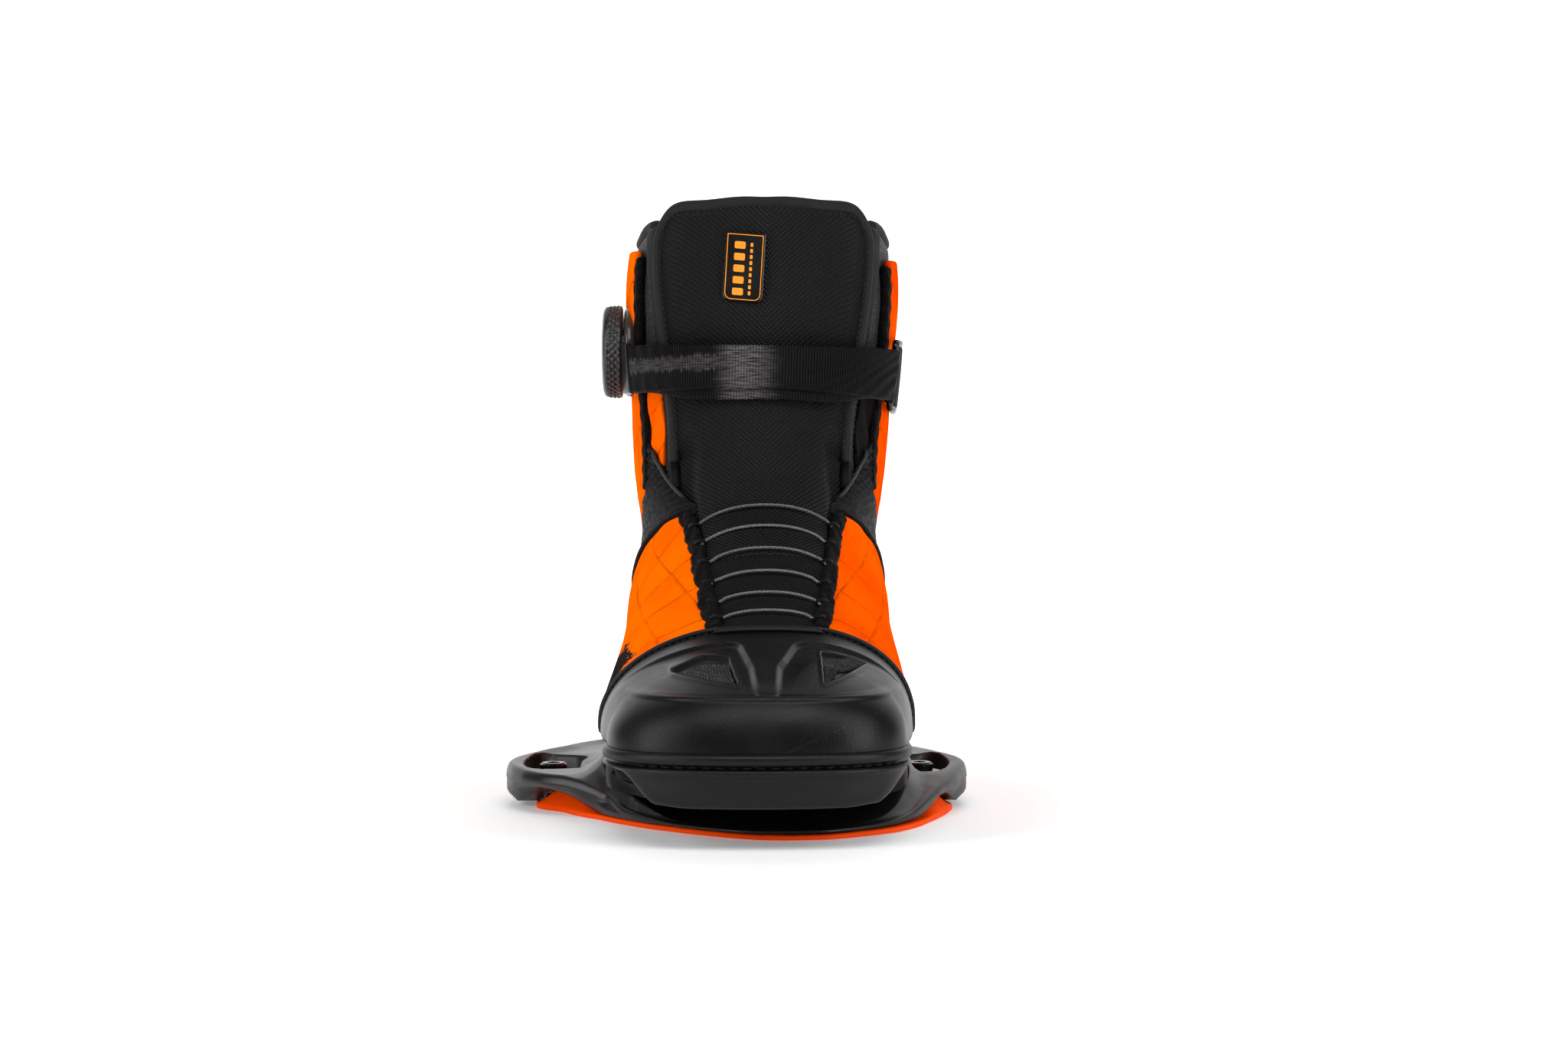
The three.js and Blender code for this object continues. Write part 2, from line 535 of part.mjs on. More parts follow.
const WEDGES = [
  [[90, -17], [86, -32], [82, -46], [77, -62], [72.5, -60.5], [77.3, -44], [82.3, -27], [86.3, -15.5]],
  [[-82, -18], [-71, -29], [-55.5, -51], [-52.3, -47.5], [-62.3, -33], [-72, -21.3], [-79, -13.8]],
];
const arcBand = (r0, r1, swing, side, count = 8) => {
  const arc = (r, a0, a1) => Array.from({ length: count + 1 }, (_, i) => {
    const a = rad(lerp(a0, a1, i / count));
    return [side * r * cos(a), r * sin(a)];
  });
  return [...arc(r1, -swing, swing), ...arc(r0, swing, -swing)];
};

const basin = (side) => plate(arcBand(65.5, 88, SLOT_SWING + 7, side), BASIN_FLOOR, EAR_TOP + 1);
const slotCut = (side) =>
  plate(arcBand(SCREW_RADIUS - 3.6, SCREW_RADIUS + 3.6, SLOT_SWING + 1, side), -1, EAR_TOP);
const ear = (name, bottom = WEDGE_TOP + GAP, top = EAR_TOP) => {
  const side = name === "medial" ? 1 : -1;
  return plate([...EAR_FRONT[name], [side * 95.5, -6], ...REAR.slice(0, 3).map(([x, y]) => [side * x, y]),
    [side * 62, 50]], bottom, top);
};
const footprint = union([plate(FRAME_OUTLINE, 0, 60), ear("medial", 0, 60), ear("lateral", 0, 60)]);
const chamfer = (side) =>
  prismY([[side * 110, -1], [side * 84, -1], [side * 97.5, 7.5], [side * 110, 7.5]], -60, 60);
// Walls that rise beside the sole and hold the boot.
const soleRoom = plate(soleOutline(-200, 200, -2.2), FRAME_TOP, 60);
const saddle = (side) => {
  const at = (y) => soleCentre(y) + side * (soleHalf(y, 0) + 1);
  const flare = side < 0 ? 13 : 5;
  const stations = [-60, -35, -10, 20, 48, 70];
  const crest = [18.5, 24, 26.5, 25.5, 22.5, 19];
  const sectionOf = (y, z) => [
    [at(y) - side * 3, y, FRAME_TOP - 3], [at(y) + side * flare, y, FRAME_TOP - 3],
    [at(y) + side * flare, y, FRAME_TOP + 0.4], [at(y) + side * 3.2, y, z], [at(y) - side * 3, y, z],
  ];
  return loft(stations.map((y, i) => sectionOf(y, crest[i])));
};
const core = plate(FRAME_OUTLINE, GASKET_TOP + GAP, FRAME_TOP);
// The front of the frame slopes down under the toe.
const apron = prismX([[-150, APRON.tip], [TOE_Y + 1, APRON.tip], [APRON.back, FRAME_TOP], [APRON.back, 90],
  [-150, 90]], -120, 120);
let frame = union([core, ear("medial"), ear("lateral"), saddle(1), saddle(-1)]).intersect(footprint)
  .subtract(soleRoom).subtract(apron);
for (const side of [1, -1])
  frame = frame.subtract(basin(side)).subtract(slotCut(side)).subtract(chamfer(side));
const teeth = [];
for (const side of [1, -1])
  for (let k = -3; k <= 3; k++) {
    const a = rad((k * SLOT_SWING) / 3);
    teeth.push(disc(1.3, BASIN_FLOOR, EAR_TOP + 1, 4).translate([side * 88 * cos(a), 88 * sin(a), 0]));
  }
add("base_frame", frame.subtract(union(teeth)), "plastic");

const gasket = union([plate(GASKET_OUTLINE, 0, GASKET_TOP),
  ...WEDGES.map((outline) => plate(outline, GASKET_TOP - 0.5, WEDGE_TOP))]);
const openings = [1, -1].map((side) =>
  plate(arcBand(SCREW_RADIUS - 5, SCREW_RADIUS + 5, SLOT_SWING + 1, side), -1, 9));
add("base_gasket", gasket.subtract(union(openings)), "red");
for (const [name, side] of [["lateral", -1], ["medial", 1]]) {
  const x = side * SCREW_RADIUS;
  const [bore, seat] = [SCREW_BORE / 2, BASIN_FLOOR + GAP];
  const washer = turned([[bore, seat], [9.5, seat], [9.5, seat + 2.3], [8.9, seat + 2.8],
    [bore, seat + 2.8], [bore, seat]], 28);
  add(name + "_mount_washer", washer.translate([x, 0, 0]), "steel");
  const top = BASIN_FLOOR + 3.1 + GAP;
  const hexagon = new THREE.CylinderGeometry(2.9, 2.9, 4, 6).rotateX(PI / 2);
  const socket = solid(hexagon.translate(0, 0, top + 3.9));
  add(name + "_mount_screw", turned([[0, 0.6], [2.4, 0.6], [3, 1.4], [3, top], [5.6, top], [5.6, top + 2.6],
    [4.6, top + 3.4], [0, top + 3.4]], 24).subtract(socket).translate([x, 0, 0]), "steel");
}

export default boot;
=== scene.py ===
import math
import bmesh
import bpy
import numpy as np
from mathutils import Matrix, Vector


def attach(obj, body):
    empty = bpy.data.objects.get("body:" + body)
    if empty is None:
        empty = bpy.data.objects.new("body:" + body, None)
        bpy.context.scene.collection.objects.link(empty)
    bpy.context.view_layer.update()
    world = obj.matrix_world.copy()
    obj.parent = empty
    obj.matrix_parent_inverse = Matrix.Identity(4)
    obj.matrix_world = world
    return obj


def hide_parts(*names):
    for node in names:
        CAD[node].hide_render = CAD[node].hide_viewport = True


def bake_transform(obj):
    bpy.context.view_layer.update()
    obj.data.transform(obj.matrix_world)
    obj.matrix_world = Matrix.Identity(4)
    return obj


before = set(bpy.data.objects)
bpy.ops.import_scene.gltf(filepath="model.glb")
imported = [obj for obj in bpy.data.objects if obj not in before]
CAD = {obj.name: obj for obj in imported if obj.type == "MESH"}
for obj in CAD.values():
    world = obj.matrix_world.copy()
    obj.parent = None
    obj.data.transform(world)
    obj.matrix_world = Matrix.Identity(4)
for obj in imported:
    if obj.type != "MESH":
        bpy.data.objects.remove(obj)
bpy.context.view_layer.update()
MM = 0.001

# ------------------------------------------------------------------ camera
camera = bpy.data.objects.new("camera", bpy.data.cameras.new("camera"))
bpy.context.scene.collection.objects.link(camera)
camera.data.sensor_width = 36
camera.data.lens = 80.31
camera.location = (0, -1.450, 0.195)
camera.rotation_euler = (math.radians(90 - 3.1), 0, math.radians(-0.78))
bpy.context.scene.camera = camera
bpy.context.scene.view_settings.view_transform = "Standard"


# ------------------------------------------------------------------ boot surface
# Sections from the ball of the foot, round the ankle, to the top of the leg, in mm:
# top or front point (y, z), bottom or back point (y, z), half width, centre x, level of the widest
# point, squareness of the top and of the bottom, sideways lean of the ridge.
SECTIONS = np.array([
    [-105, 69.5, -105, 31, 58, 8, -0.5, 2.3, 4, 4],
    [-85, 74, -85, 31, 61, 8, -0.55, 2.3, 4, 4.5],
    [-66, 78.5, -62, 31, 62.3, 8, -0.6, 2.25, 4, 5],
    [-46, 88.4, -35, 31, 63, 8, -0.65, 2.2, 4, 5],
    [-25, 101, -5, 31, 62, 8.3, -0.65, 2.2, 4, 4.5],
    [-6, 113, 28, 31, 60.5, 8.6, -0.62, 2.2, 4, 4],
    [8, 124, 64, 31, 59.5, 9, -0.55, 2.2, 3.8, 3],
    [15, 134, 101, 31.5, 59, 9.3, -0.4, 2.2, 3.2, 2],
    [19, 146, 139, 37, 57, 9.6, -0.2, 2.2, 2.5, 1],
    [21, 158, 153, 62, 54.5, 10, -0.08, 2.2, 2.2, 0],
    [22, 170, 149, 98, 54.5, 10.2, 0, 2.2, 2.2, 0],
    [22.5, 182, 143, 130, 56, 10.6, 0, 2.25, 2.2, 0],
    [22, 200, 141, 165, 58.2, 11, 0, 2.3, 2.2, 0],
    [20, 220, 143, 200, 59, 11.3, 0, 2.3, 2.2, 0],
    [17, 238, 147, 229, 57.5, 11.6, 0, 2.3, 2.2, 0],
    [14, 252, 150, 252, 55, 11.8, 0, 2.3, 2.2, 0],
])
WAIST = ([38, 50, 66, 82, 95, 108, 122, 135], [0, 0.015, 0.028, 0.034, 0.05, 0.05, 0.015, 0])
TOE_Y, TOE_MIDDLE, NOSE = -105, 11.5, 38.5


def section(s):
    """The measures of SECTIONS at s, on a smooth curve through the rows."""
    last = len(SECTIONS) - 1
    i = np.clip(np.floor(s), 0, last - 1).astype(int)
    t = np.clip(s - i, 0, 1)[..., None]
    a, b, d, e = (SECTIONS[np.clip(i + k, 0, last)] for k in (-1, 0, 1, 2))
    curved = 0.5 * t * (d - a + t * (2 * a - 5 * b + 4 * d - e + t * (3 * (b - d) + e - a)))
    return np.moveaxis(b + curved, -1, 0)


def surface(s, v, depth=0.0):
    """Points (..., 3) in mm at section s and angle v in degrees, raised by depth. Sections from -1 to 0 are
    the nose."""
    s, v, depth = np.broadcast_arrays(np.asarray(s, float), np.asarray(v, float), np.asarray(depth, float))
    nose = np.where(s < 0, np.sin(np.clip(-s, 0, 1) * math.pi / 2), 0)
    ty, tz, by, bz, half, centre, level, square_top, square_bottom, lean = section(np.maximum(s, 0))
    reach = nose * (NOSE + depth)
    pinch = (1 - nose ** 2.6) ** (1 / 2.2)
    squash = (1 - nose ** 6) ** 0.4
    length = np.hypot(ty - by, tz - bz)
    dy, dz = (ty - by) / length, (tz - bz) / length
    height = (length + 2 * depth - 0.32 * reach) * squash
    a = np.radians(v)
    power = 2 / np.where(np.cos(a) >= 0, square_top, square_bottom)
    across = np.sign(np.sin(a)) * np.abs(np.sin(a)) ** power
    up = np.sign(np.cos(a)) * np.abs(np.cos(a)) ** power
    rise = height / 2 * (1 + np.where(up >= 0, level + (1 - level) * up, level + (1 + level) * up))
    x = centre + (half + depth) * pinch * across + lean * pinch * np.maximum(0, np.cos(a)) ** 1.5
    z = bz - dz * depth + dz * rise
    x = centre + (x - centre) * (1 - np.interp(z, *WAIST))
    return np.stack([x, by - dy * depth + dy * rise - reach, z], -1)


def lerp(a, b, t):
    """Value at t on the way from a to b."""
    return a + (b - a) * t


def smooth(a, b, x):
    """Rises from 0 where x is a to 1 where x is b."""
    t = np.clip((x - a) / (b - a), 0, 1)
    return t * t * (3 - 2 * t)


def throat(s):
    """Half the throat's opening in degrees: where the tongue's edges run."""
    return np.interp(s, [2.1, 6.5, 11, 15], [15, 29, 33, 51])


def tongue_half(s):
    """Half the tongue's width in degrees above the laces."""
    return np.interp(s, [4, 6.5, 7.6, 9.5, 12, 13, 14, 15], [23.2, 29.5, 39, 43, 45.5, 48.5, 51, 52])


def bisect(past, shape, low, high):
    """Where past(value) turns from false to true between low and high, for a whole grid."""
    low, high = np.full(shape, float(low)), np.full(shape, float(high))
    for _ in range(26):
        mid = (low + high) / 2
        over = past(mid)
        low, high = np.where(over, low, mid), np.where(over, mid, high)
    return (low + high) / 2


def section_where(test, v, low, high):
    """Section between low and high where test(x, y, z) turns positive, for each angle v."""
    v = np.asarray(v, float)
    return bisect(lambda s: test(*np.moveaxis(surface(s, v), -1, 0)) > 0, v.shape, low, high)


def angle_where(height, s):
    """Angle on the side at section s where the surface comes down to a height."""
    return bisect(lambda v: surface(s, v)[..., 2] <= height, np.shape(s), 60, 130)


def at_height(height, v, low=5, high=15):
    """Section where the surface reaches a height, for each angle v."""
    return section_where(lambda x, y, z: z - height, v, low, high)


def up_leg(height, v):
    """The same, for a height above the ankle."""
    return at_height(height, v, 9, 15)


# ------------------------------------------------------------------ mesh building
def make_object(name, verts, faces, uv=None, material_index=None, smooth_shade=True, weld=True):
    """An object from points in mm, with its pattern coordinates and the material slot of each face."""
    mesh = bpy.data.meshes.new(name)
    mesh.from_pydata([tuple(p) for p in np.asarray(verts) * MM], [], [tuple(f) for f in faces])
    if uv is not None:
        layer = mesh.uv_layers.new(name="Pattern")
        index = np.empty(len(mesh.loops), int)
        mesh.loops.foreach_get("vertex_index", index)
        layer.data.foreach_set("uv", np.asarray(uv, np.float32)[index].ravel())
    if material_index is not None:
        mesh.polygons.foreach_set("material_index", np.asarray(material_index, int))
    if smooth_shade:
        mesh.polygons.foreach_set("use_smooth", np.ones(len(mesh.polygons), bool))
    if weld:
        bm = bmesh.new()
        bm.from_mesh(mesh)
        bmesh.ops.remove_doubles(bm, verts=bm.verts, dist=2e-6)
        bmesh.ops.dissolve_degenerate(bm, edges=bm.edges, dist=1e-7)
        bmesh.ops.recalc_face_normals(bm, faces=bm.faces)
        bm.to_mesh(mesh)
        bm.free()
    o = bpy.data.objects.new(name, mesh)
    bpy.context.scene.collection.objects.link(o)
    return o


def edge_rows(count, length, r0, r1):
    """Places along an edge in 0..1, closer together where the edge is rolled over with radius r0 or r1."""
    roll = 1 - np.cos(np.linspace(0, math.pi / 2, 5))
    head = roll * r0 / length if r0 else np.array([0.0])
    tail = 1 - roll[::-1] * r1 / length if r1 else np.array([1.0])
    return np.concatenate([head, np.linspace(head[-1], tail[0], count + 1)[1:-1], tail])


def rolled(distance, radius):
    """Share of the full thickness at a distance from an edge that is rolled over."""
    return np.sqrt(np.clip(1 - (1 - np.minimum(distance / radius, 1)) ** 2, 0, 1)) if radius else 1.0


def running(points, axis=0):
    """Distance walked along one axis of a path or a grid of points."""
    step = np.linalg.norm(np.diff(points, axis=axis), axis=-1)
    zero = np.zeros_like(np.take(step, [0], axis=axis))
    return np.concatenate([zero, np.cumsum(step, axis=axis)], axis=axis)


def evenly(points, count, endpoint=True):
    """The same path, with its points evenly spaced."""
    run = running(points)
    even = np.linspace(0, run[-1], count, endpoint=endpoint)
    return np.stack([np.interp(even, run, column) for column in points.T], 1)


def unit(vectors):
    """Vectors (..., 3) scaled to length 1."""
    return vectors / np.linalg.norm(vectors, axis=-1, keepdims=True)


def ring_grid(rings, sides):
    """Vertex numbers of stacked closed rings, their neighbours round the ring, and the cells between."""
    grid = np.arange(rings * sides).reshape(rings, sides)
    beside = np.roll(grid, -1, axis=1)
    return grid, beside, np.stack([grid[:-1], beside[:-1], beside[1:], grid[1:]], -1)


def shell(name, at, deep, high, rows, columns, roll=(1.5, 1.5, 1.5, 1.5), relief=None, around=False):
    """A closed panel on the boot's surface, from deep to high above it in mm. at(a, b) gives section and
    angle for a, b in 0..1. roll gives the edge radii at a = 0, a = 1, b = 0 and b = 1. relief(q) gives the
    extra height of the outer face. around says that the panel meets itself where b is 0 and 1."""
    a, b = np.meshgrid(np.linspace(0, 1, 30), np.linspace(0, 1, 30), indexing="ij")
    rough = surface(*at(a, b), 0 if callable(high) else high)
    length_a = running(rough, 0)[-1].max()
    length_b = running(rough, 1)[:, -1].max()
    a, b = np.meshgrid(edge_rows(rows, length_a, *roll[:2]), edge_rows(columns, length_b, *roll[2:]),
                       indexing="ij")
    s, v = at(a, b)
    top = high(s, v) if callable(high) else high
    middle, half = (deep + top) / 2, (top - deep) / 2
    base = surface(s, v, middle)
    along, across = running(base, 0), running(base, 1)
    fullness = (rolled(along, roll[0]) * rolled(along[-1:] - along, roll[1])
                * rolled(across, roll[2]) * rolled(across[:, -1:] - across, roll[3]))
    extra = 0
    if relief:
        extra = relief({"x": base[..., 0], "y": base[..., 1], "z": base[..., 2], "a": a, "b": b,
                        "along": along, "across": across, "to_end": along[-1:] - along})
    outer = surface(s, v, middle + half * fullness + extra * np.minimum(fullness, 1))
    inner = surface(s, v, middle - half * fullness)
    n, m = s.shape
    grid = np.arange(n * m).reshape(n, m)
    quads = np.stack([grid[:-1, :-1], grid[1:, :-1], grid[1:, 1:], grid[:-1, 1:]], -1).reshape(-1, 4)
    size = n * m
    faces = [quads, quads[:, ::-1] + size]
    for ring, radius in zip((grid[0], grid[-1], grid[:, 0], grid[:, -1]), roll):
        if not radius and not (around and ring.size == n):
            faces.append(np.stack([ring[:-1], ring[1:], ring[1:] + size, ring[:-1] + size], -1))
    faces = np.concatenate(faces)
    uv = np.stack([across - across[:, -1:] / 2, along], -1).reshape(-1, 2)
    index = np.zeros(len(faces), int)
    index[len(quads):2 * len(quads)] = 1
    return make_object(name, np.concatenate([outer.reshape(-1, 3), inner.reshape(-1, 3)]), faces,
                       np.concatenate([uv, uv]), index)


def relaxed(points, times):
    """A path with its corners rounded off."""
    for _ in range(times):
        points[1:-1] = (points[:-2] + 2 * points[1:-1] + points[2:]) / 4
    return points


def curve_points(points, count):
    """A smooth path through points, evenly spaced."""
    p = np.asarray(points, float)
    knots = np.concatenate([[0], np.cumsum(np.linalg.norm(np.diff(p, axis=0), axis=1) ** 0.5)])
    out = []
    for t in np.linspace(0, knots[-1], count * 4):
        i = int(np.clip(np.searchsorted(knots, t) - 1, 0, len(p) - 2))
        u = (t - knots[i]) / (knots[i + 1] - knots[i])
        a, b, c, d = p[max(i - 1, 0)], p[i], p[i + 1], p[min(i + 2, len(p) - 1)]
        out.append(b + 0.5 * u * (c - a + u * (2 * a - 5 * b + 4 * c - d + u * (3 * (b - c) + d - a))))
    return evenly(np.array(out), count)


def sweep(name, path, outline, ups=None, scale=1.0):
    """A closed strand: outline (k, 2) in mm carried along path (n, 3), with its second axis toward ups."""
    path, outline = np.asarray(path, float), np.asarray(outline, float)
    tangent = unit(np.gradient(path, axis=0))
    if ups is None:
        up = np.array([0, 0, 1.0]) if abs(tangent[0, 2]) < 0.9 else np.array([0, 1.0, 0])
        frames = []
        for t in tangent:
            up = unit(up - t * (up @ t))
            frames.append(up)
        ups = np.array(frames)
    else:
        ups = unit(ups - tangent * np.sum(ups * tangent, 1, keepdims=True))
    side = np.cross(tangent, ups)
    drawn = outline * np.broadcast_to(scale, len(path))[:, None, None]
    verts = path[:, None] + drawn[..., :1] * side[:, None] + drawn[..., 1:] * ups[:, None]
    grid, _, cells = ring_grid(len(path), len(outline))
    faces = cells[..., [0, 3, 2, 1]].reshape(-1, 4).tolist() + [grid[0].tolist(), grid[-1][::-1].tolist()]
    uv = np.stack(np.broadcast_arrays(running(outline), running(path)[:, None]), -1).reshape(-1, 2)
    return make_object(name, verts.reshape(-1, 3), faces, uv, weld=False)


def circle(radius, sides):
    """Outline (sides, 2) of a circle."""
    a = np.arange(sides) * 2 * math.pi / sides
    return np.stack([radius * np.cos(a), radius * np.sin(a)], 1)


def tube(name, path, radius, sides=10, ups=None):
    """A round strand with slightly drawn-in ends."""
    ends = np.ones(len(path))
    ends[0] = ends[-1] = 0.55
    return sweep(name, path, circle(radius, sides), ups, ends)


def stacked(name, rings, to_world=lambda p: p, capped=True, **more):
    """A closed body from rings of points, one above the other."""
    verts = np.concatenate(rings)
    grid, _, cells = ring_grid(len(rings), len(rings[0]))
    faces = cells.reshape(-1, 4).tolist()
    if capped:
        faces += [grid[0][::-1].tolist(), grid[-1].tolist()]
    return make_object(name, to_world(verts), faces, verts[:, :2], **more)


def lathe(name, profile, sides, centre, axis):
    """A turned piece: (radius, height) pairs round axis through centre."""
    profile = np.asarray(profile, float)
    angle = np.arange(sides) * 2 * math.pi / sides
    r, h = profile[:, :1], profile[:, 1:]
    local = np.stack(np.broadcast_arrays(r * np.cos(angle), r * np.sin(angle), h), -1)
    turn = np.array(Vector((0, 0, 1)).rotation_difference(Vector(axis)).to_matrix())
    verts = local @ turn.T + np.asarray(centre, float)
    _, _, cells = ring_grid(len(profile), sides)
    uv = np.stack(np.broadcast_arrays(angle * r, running(profile)[:, None]), -1).reshape(-1, 2)
    return make_object(name, verts.reshape(-1, 3), cells.reshape(-1, 4), uv)


def join(name, objects):
    """One object from several meshes, with their material slots."""
    bpy.ops.object.select_all(action="DESELECT")
    for o in objects:
        o.select_set(True)
    bpy.context.view_layer.objects.active = objects[0]
    bpy.ops.object.join()
    objects[0].name = name
    return objects[0]


def stitches(name, path, normals, pitch, length, radius=0.35, lift=0.15):
    """A row of thread stitches along a path (n, 3), each a small rounded bar."""
    run = running(path)
    verts, faces, uvs = [], [], []
    shape = [(-0.5, 0.25), (-0.36, 0.85), (0, 1.0), (0.36, 0.85), (0.5, 0.25)]
    grid, _, cells = ring_grid(len(shape), 6)

    def along_path(distance, values):
        return np.array([np.interp(distance, run, column) for column in values.T])

    for d in np.arange(pitch / 2, run[-1], pitch):
        p, up = along_path(d, path), along_path(d, normals)
        t = unit(along_path(min(d + 0.5, run[-1]), path) - along_path(max(d - 0.5, 0), path))
        up = unit(up - t * (up @ t))
        side = np.cross(t, up)
        start = len(verts)
        for along, size in shape:
            bend = lift * (1 - (2 * along) ** 2)
            for k, (across, above) in enumerate(circle(radius * size, 6)):
                verts.append(p + t * along * length + side * across + up * (above * 0.8 + bend))
                uvs.append((k, along * length))
        faces += (cells.reshape(-1, 4) + start).tolist() + [(grid[0][::-1] + start).tolist(),
                                                           (grid[-1] + start).tolist()]
    return make_object(name, verts, faces, uvs, weld=False)


def on_surface(s, v, depth):
    """Points and outward directions along a line on the boot."""
    p = surface(s, v, depth)
    return p, unit(surface(s, v, np.asarray(depth) + 1.0) - p)


# ------------------------------------------------------------------ materials
class Field:
    """A value in a material: + - * / % ** and abs() make the math nodes that work it out."""

    def __init__(self, look, socket):
        self.look, self.socket = look, socket

    def __abs__(self):
        return self.look.math("ABSOLUTE", self)


for symbol, operation in (("add", "ADD"), ("sub", "SUBTRACT"), ("mul", "MULTIPLY"), ("truediv", "DIVIDE"),
                          ("mod", "MODULO"), ("pow", "POWER")):
    setattr(Field, f"__{symbol}__", lambda a, b, kind=operation: a.look.math(kind, a, b))
    setattr(Field, f"__r{symbol}__", lambda a, b, kind=operation: a.look.math(kind, b, a))


class Look:
    """A procedural material on the Principled shader, in mm. More settings carry their sockets' names."""

    def __init__(self, name, roughness, specular=0.5, **more):
        self.material = bpy.data.materials.new(name)
        self.material.use_nodes = True
        self.tree = self.material.node_tree
        self.shader = self.tree.nodes["Principled BSDF"]
        settings = {"roughness": roughness, "coat_roughness": 0.1, "sheen_roughness": 0.4, **more}
        for key, value in settings.items():
            self.shader.inputs[key.replace("_", " ").title()].default_value = value
        self.shader.inputs["Specular IOR Level"].default_value = specular

    def set(self, target, value):
        """Links a field to an input, or gives the input a plain value."""
        if isinstance(value, Field):
            self.tree.links.new(value.socket, target)
        else:
            target.default_value = (*value, 1.0) if isinstance(value, tuple) else value

    def node(self, kind, inputs=(), output=0, **settings):
        """Adds a node, and gives back one of its outputs as a field."""
        added = self.tree.nodes.new(kind)
        for key, value in settings.items():
            setattr(added, key, value)
        for key, value in dict(inputs).items():
            self.set(added.inputs[key], value)
        return Field(self, added.outputs[output])

    def split(self, vector):
        outputs = self.node("ShaderNodeSeparateXYZ", {0: vector}).socket.node.outputs
        return [Field(self, socket) for socket in outputs]

    def uv(self):
        """Distance across and along the piece in mm."""
        return self.split(self.node("ShaderNodeUVMap", uv_map="Pattern"))[:2]

    def point(self):
        """Place on the object in mm."""
        raw = self.node("ShaderNodeTexCoord", output="Object")
        return self.node("ShaderNodeVectorMath", {0: raw, 3: 1000.0}, operation="SCALE")

    def vector(self, *values):
        return self.node("ShaderNodeCombineXYZ", dict(enumerate(values)))

    def math(self, operation, *values):
        return self.node("ShaderNodeMath", dict(enumerate(values)), operation=operation)

    def middle(self, value):
        """Signed distance from the middle of each whole step, -0.5 to 0.5."""
        return self.math("FRACT", value) - 0.5

    def length(self, a, b):
        return self.math("SQRT", a * a + b * b)

    def wavy(self, value, period):
        """0..1 waves of a coordinate in mm."""
        return self.math("SINE", value * (2 * math.pi / period)) * 0.5 + 0.5

    def noise(self, vector, size, detail=3.0, roughness=0.5):
        return self.node("ShaderNodeTexNoise", {"Vector": vector, "Scale": 1.0 / size, "Detail": detail,
                                                "Roughness": roughness})

    def cells(self, vector, size, feature="F1"):
        return self.node("ShaderNodeTexVoronoi", {"Vector": vector, "Scale": 1.0 / size}, feature=feature)

    def remap(self, value, low, high, out_low=0.0, out_high=1.0):
        return self.node("ShaderNodeMapRange", {0: value, 1: low, 2: high, 3: out_low, 4: out_high},
                         interpolation_type="SMOOTHSTEP")

    def mix(self, factor, a, b):
        return self.node("ShaderNodeMix", {0: factor, 6: a, 7: b}, output=2, data_type="RGBA")

    def bump(self, height, distance, normal=None, strength=1.0):
        inputs = {"Height": height, "Distance": distance * MM, "Strength": strength}
        if normal is not None:
            inputs["Normal"] = normal
        return self.node("ShaderNodeBump", inputs)

    def worn(self, color, rubbed, amount):
        """Lightens a colour where the surface turns sharply."""
        edge = self.node("ShaderNodeNewGeometry", output="Pointiness")
        return self.mix(self.remap(edge, 0.53, 0.62, 0.0, amount), color, rubbed)

    def done(self, color, roughness, normal=None):
        self.set(self.shader.inputs["Base Color"], color)
        self.set(self.shader.inputs["Roughness"], roughness)
        if normal is not None:
            self.set(self.shader.inputs["Normal"], normal)
        return self.material


def moulded(name, dark, light, roughness=0.55, grain=0.35, depth=0.05, coat=0.0, specular=0.2, wear=0.12):
    """Moulded rubber or plastic: fine spark-eroded grain, cloudy tone, dusty edges."""
    look = Look(name, roughness, specular, coat_weight=coat)
    p = look.point()
    cloud, fine = look.noise(p, 28, 4), look.noise(p, grain, 2)
    color = look.worn(look.mix(cloud, dark, light), tuple(min(1, 2.2 * c + 0.02) for c in light), wear)
    rough = look.remap(cloud, 0.3, 0.7, roughness - 0.06, roughness + 0.07)
    return look.done(color, rough + look.remap(fine, 0.3, 0.7, -0.04, 0.04), look.bump(fine, depth))


def orange_shell(name, base=(1.0, 0.150, 0.0), deep=(0.92, 0.105, 0.0), blots=(), grid=(22.0, 26.0)):
    """Moulded synthetic leather: fine twill grain, faint embossed grid with soft pinches, ink blots."""
    look = Look(name, 0.5, specular=0.0)
    p = look.point()
    u, v = look.uv()
    wander = look.noise(p, 14, 2)
    line_u = look.remap(abs(look.middle((wander * 3.0 + u) / grid[0])), 0.0, 0.045, 1.0, 0.0)
    line_v = look.remap(abs(look.middle((wander * 3.5 + v) / grid[1])), 0.0, 0.05, 1.0, 0.0)
    line = look.math("MAXIMUM", line_u, line_v) * look.remap(look.noise(p, 9, 1), 0.3, 0.6, 0.35, 1.0)
    grain = look.wavy(u + v, 0.62) * 0.5 + look.noise(p, 0.5, 3) * 0.8
    normal = look.bump(line, 0.8, look.bump(grain, 0.05))
    normal = look.bump(look.noise(p, 16, 2), 0.5, normal, 0.5)
    color = look.mix(look.remap(look.noise(p, 35, 3), 0.35, 0.7), base, deep)
    color = look.mix(line * 0.3, color, (0.78, 0.085, 0.0))
    for centre, radius, run in blots:
        x, y, z = look.split(p)
        spread = look.length((y - centre[1]) / radius[0], (z - centre[2]) / radius[1])
        splash = look.noise(p, 3.2, 4, 0.65) * -1.7 + spread
        specks = look.cells(p, run) * 1.6 + (spread * 0.55 - 0.72)
        side = look.remap(x * math.copysign(1.0, centre[0]), 15, 17)
        ink = look.remap(look.math("MINIMUM", splash, specks), 0.16, 0.2, 1.0, 0.0) * side
        color = look.mix(ink, color, (0.018, 0.016, 0.016))
    return look.done(color, look.remap(look.noise(p, 6, 3), 0.3, 0.7, 0.42, 0.58), normal)


